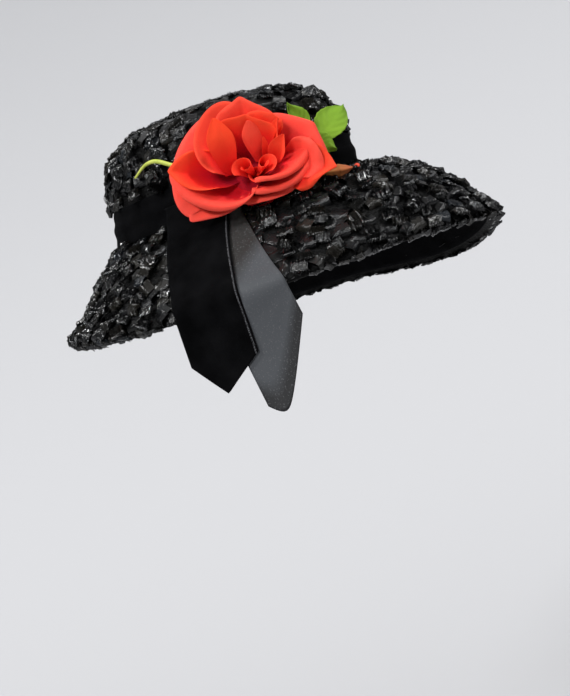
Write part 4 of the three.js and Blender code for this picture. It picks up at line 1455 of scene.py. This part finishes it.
STEM_PATH = np.array(
    [
        # x, y and z in the rose's frame, as shares of the stem's reach
        (-0.36, 0.2, -0.13),
        (-0.65, 0.385, -0.126),
        (-0.785, 0.49, -0.178),
        (-0.88, 0.51, -0.25),
        (-1.0, 0.458, -0.335),
    ]
)
BUD_PATH = np.array(
    [
        (0.41, -0.11, -0.08),
        (0.67, -0.165, -0.08),
        (0.825, -0.175, -0.12),
        (0.96, -0.17, -0.17),
    ]
)
BUD_SECTIONS = columns(
    "along radius",
    [(0, 0.24), (0.6, 0.24), (0.7, 0.7), (0.8, 1.0), (0.9, 0.6), (0.96, 0.24), (1, 0.24)],
)


def under_pad(turn, clearance):
    """Where something starts that leaves the rose under its pad, a little off the neck's cone."""
    radius = NECK_RADIUS + SPRIG_START * (PAD_RADIUS - NECK_RADIUS)
    height = -NECK_LENGTH + SPRIG_START * (NECK_LENGTH - PAD_RIM)
    slope = math.atan2(PAD_RADIUS - NECK_RADIUS, NECK_LENGTH - PAD_RIM)
    out = radius + clearance * math.cos(slope)
    return np.array([out * math.cos(turn), out * math.sin(turn), height - clearance * math.sin(slope)])


print(len(STEM_PATH) + 1, "points along the stem,", len(BUD_PATH) + 1, "along the bud's stalk")


# %% Leaves
def make_leaf(name, number):
    """A leaf on its stalk, from under the flower to its tip."""
    row = {key: float(column[number]) for key, column in LEAVES.items()}
    start = under_pad(math.radians(row["turn"]), GAP + LEAF_THICKNESS)
    base = LEAF_REACH * np.array([row["base_x"], row["base_y"], row["base_z"]])
    tip = LEAF_REACH * np.array([row["tip_x"], row["tip_y"], row["tip_z"]])
    rib = smooth_path([start, base, tip])
    stalk_share = np.linalg.norm(base - start) / rib[1][-1]

    def surface(u, v):
        across = 2 * u - 1
        blade = np.clip((v - stalk_share) / (1 - stalk_share), 0, 1)
        outline = np.maximum(0, np.sin(math.pi * blade ** row["widest"])) ** row["sharp"]
        teeth = 1 + TOOTH_DEPTH * np.abs(np.sin(TEETH * blade)) * (blade > 0.05)
        stalk = STALK_RADIUS * (1 - 0.8 * blade)
        half = stalk + row["width"] * LEAF_REACH / 2 * outline * teeth
        centre = along_path(rib, v)
        tangent = path_heading(rib, v, 0.01)
        side = unit(np.cross(tangent, [0, 0, 1.0]))
        point = centre + side * (across * half)[:, None]
        fold = MIDRIB_FOLD * (half - stalk) * np.abs(across) ** 1.3
        slant = blade - VEIN_SLANT * np.abs(across)
        veins = VEIN_HEIGHT * np.sin(VEINS * slant) * (np.abs(across) ** 0.5) * outline
        droop = LEAF_DROOP * blade**2 * np.sin(3 * across + number)
        point[:, 2] += fold + veins + droop
        return in_rose(point)

    leaf, _ = cloth_piece(f"cloth_{name}", surface, 24, 60, LEAF_THICKNESS * 0.45)
    finish_piece(leaf, leaf_cloth, [name])


for number, name in enumerate(("leaf_back", "leaf_large", "leaf_front")):
    make_leaf(name, number)


# %% Stem, bud and neck
def make_bar(name, path, radius_at, sides, steps):
    """A round bar along a path, closed at both ends, with a UV map round and along it."""
    bar = new_grid(name, sides, steps)

    def surface(u, v):
        centre = along_path(path, v)
        tangent = path_heading(path, v, 0.02)
        side = unit(np.cross(tangent, [0.3, 0.9, 0.2]))
        other = np.cross(tangent, side)
        turn = 2 * math.pi * u
        ring = side * np.cos(turn)[:, None] + other * np.sin(turn)[:, None]
        return in_rose(centre + ring * radius_at(v, turn)[:, None])

    lay_on(bar, surface)
    merge_seam(bar)
    bpy.ops.object.mode_set(mode="EDIT")
    bpy.ops.mesh.select_all(action="DESELECT")
    bpy.ops.mesh.select_mode(type="EDGE")
    bpy.ops.mesh.select_non_manifold()
    bpy.ops.mesh.edge_face_add()
    bpy.ops.mesh.select_all(action="SELECT")
    bpy.ops.mesh.normals_make_consistent(inside=False)
    bpy.ops.object.mode_set(mode="OBJECT")
    return bar


BAR_STEPS = 90


def stem_radius(v, turn):
    """The same all round: even at first, then thinner towards the tip."""
    return STEM_RADIUS * (1 - 2 * np.clip(v - 0.75, 0, 1))


stem_path = smooth_path([under_pad(math.radians(150), GAP + STEM_RADIUS), *STEM_PATH * STEM_REACH])
stem = make_bar("wire_stem", stem_path, stem_radius, 16, BAR_STEPS)
finish_piece(stem, stem_paper, ["stem"])


def bud_radius(v, turn):
    """The stalk, then a bud of folded sepals."""
    swelling = np.interp(v, BUD_SECTIONS["along"], BUD_SECTIONS["radius"])
    sepals = 1 + SEPAL_DEPTH * np.cos(SEPALS * turn) * np.clip((v - SEPALS_FROM) / 0.1, 0, 1)
    return BUD_RADIUS * swelling * sepals


bud_path = smooth_path([under_pad(math.radians(-20), GAP + STALK_RADIUS), *BUD_PATH * BUD_REACH])
bud = make_bar("cloth_bud", bud_path, bud_radius, 30, BAR_STEPS)
finish_piece(bud, calyx_cloth, ["bud"])

for node, material in (("rose_neck", stem_paper), ("bud_tip", bud_coral)):
    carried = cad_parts[node]
    carried.data.materials.clear()
    carried.data.materials.append(material)
print("stem, bud, neck and bud tip done")
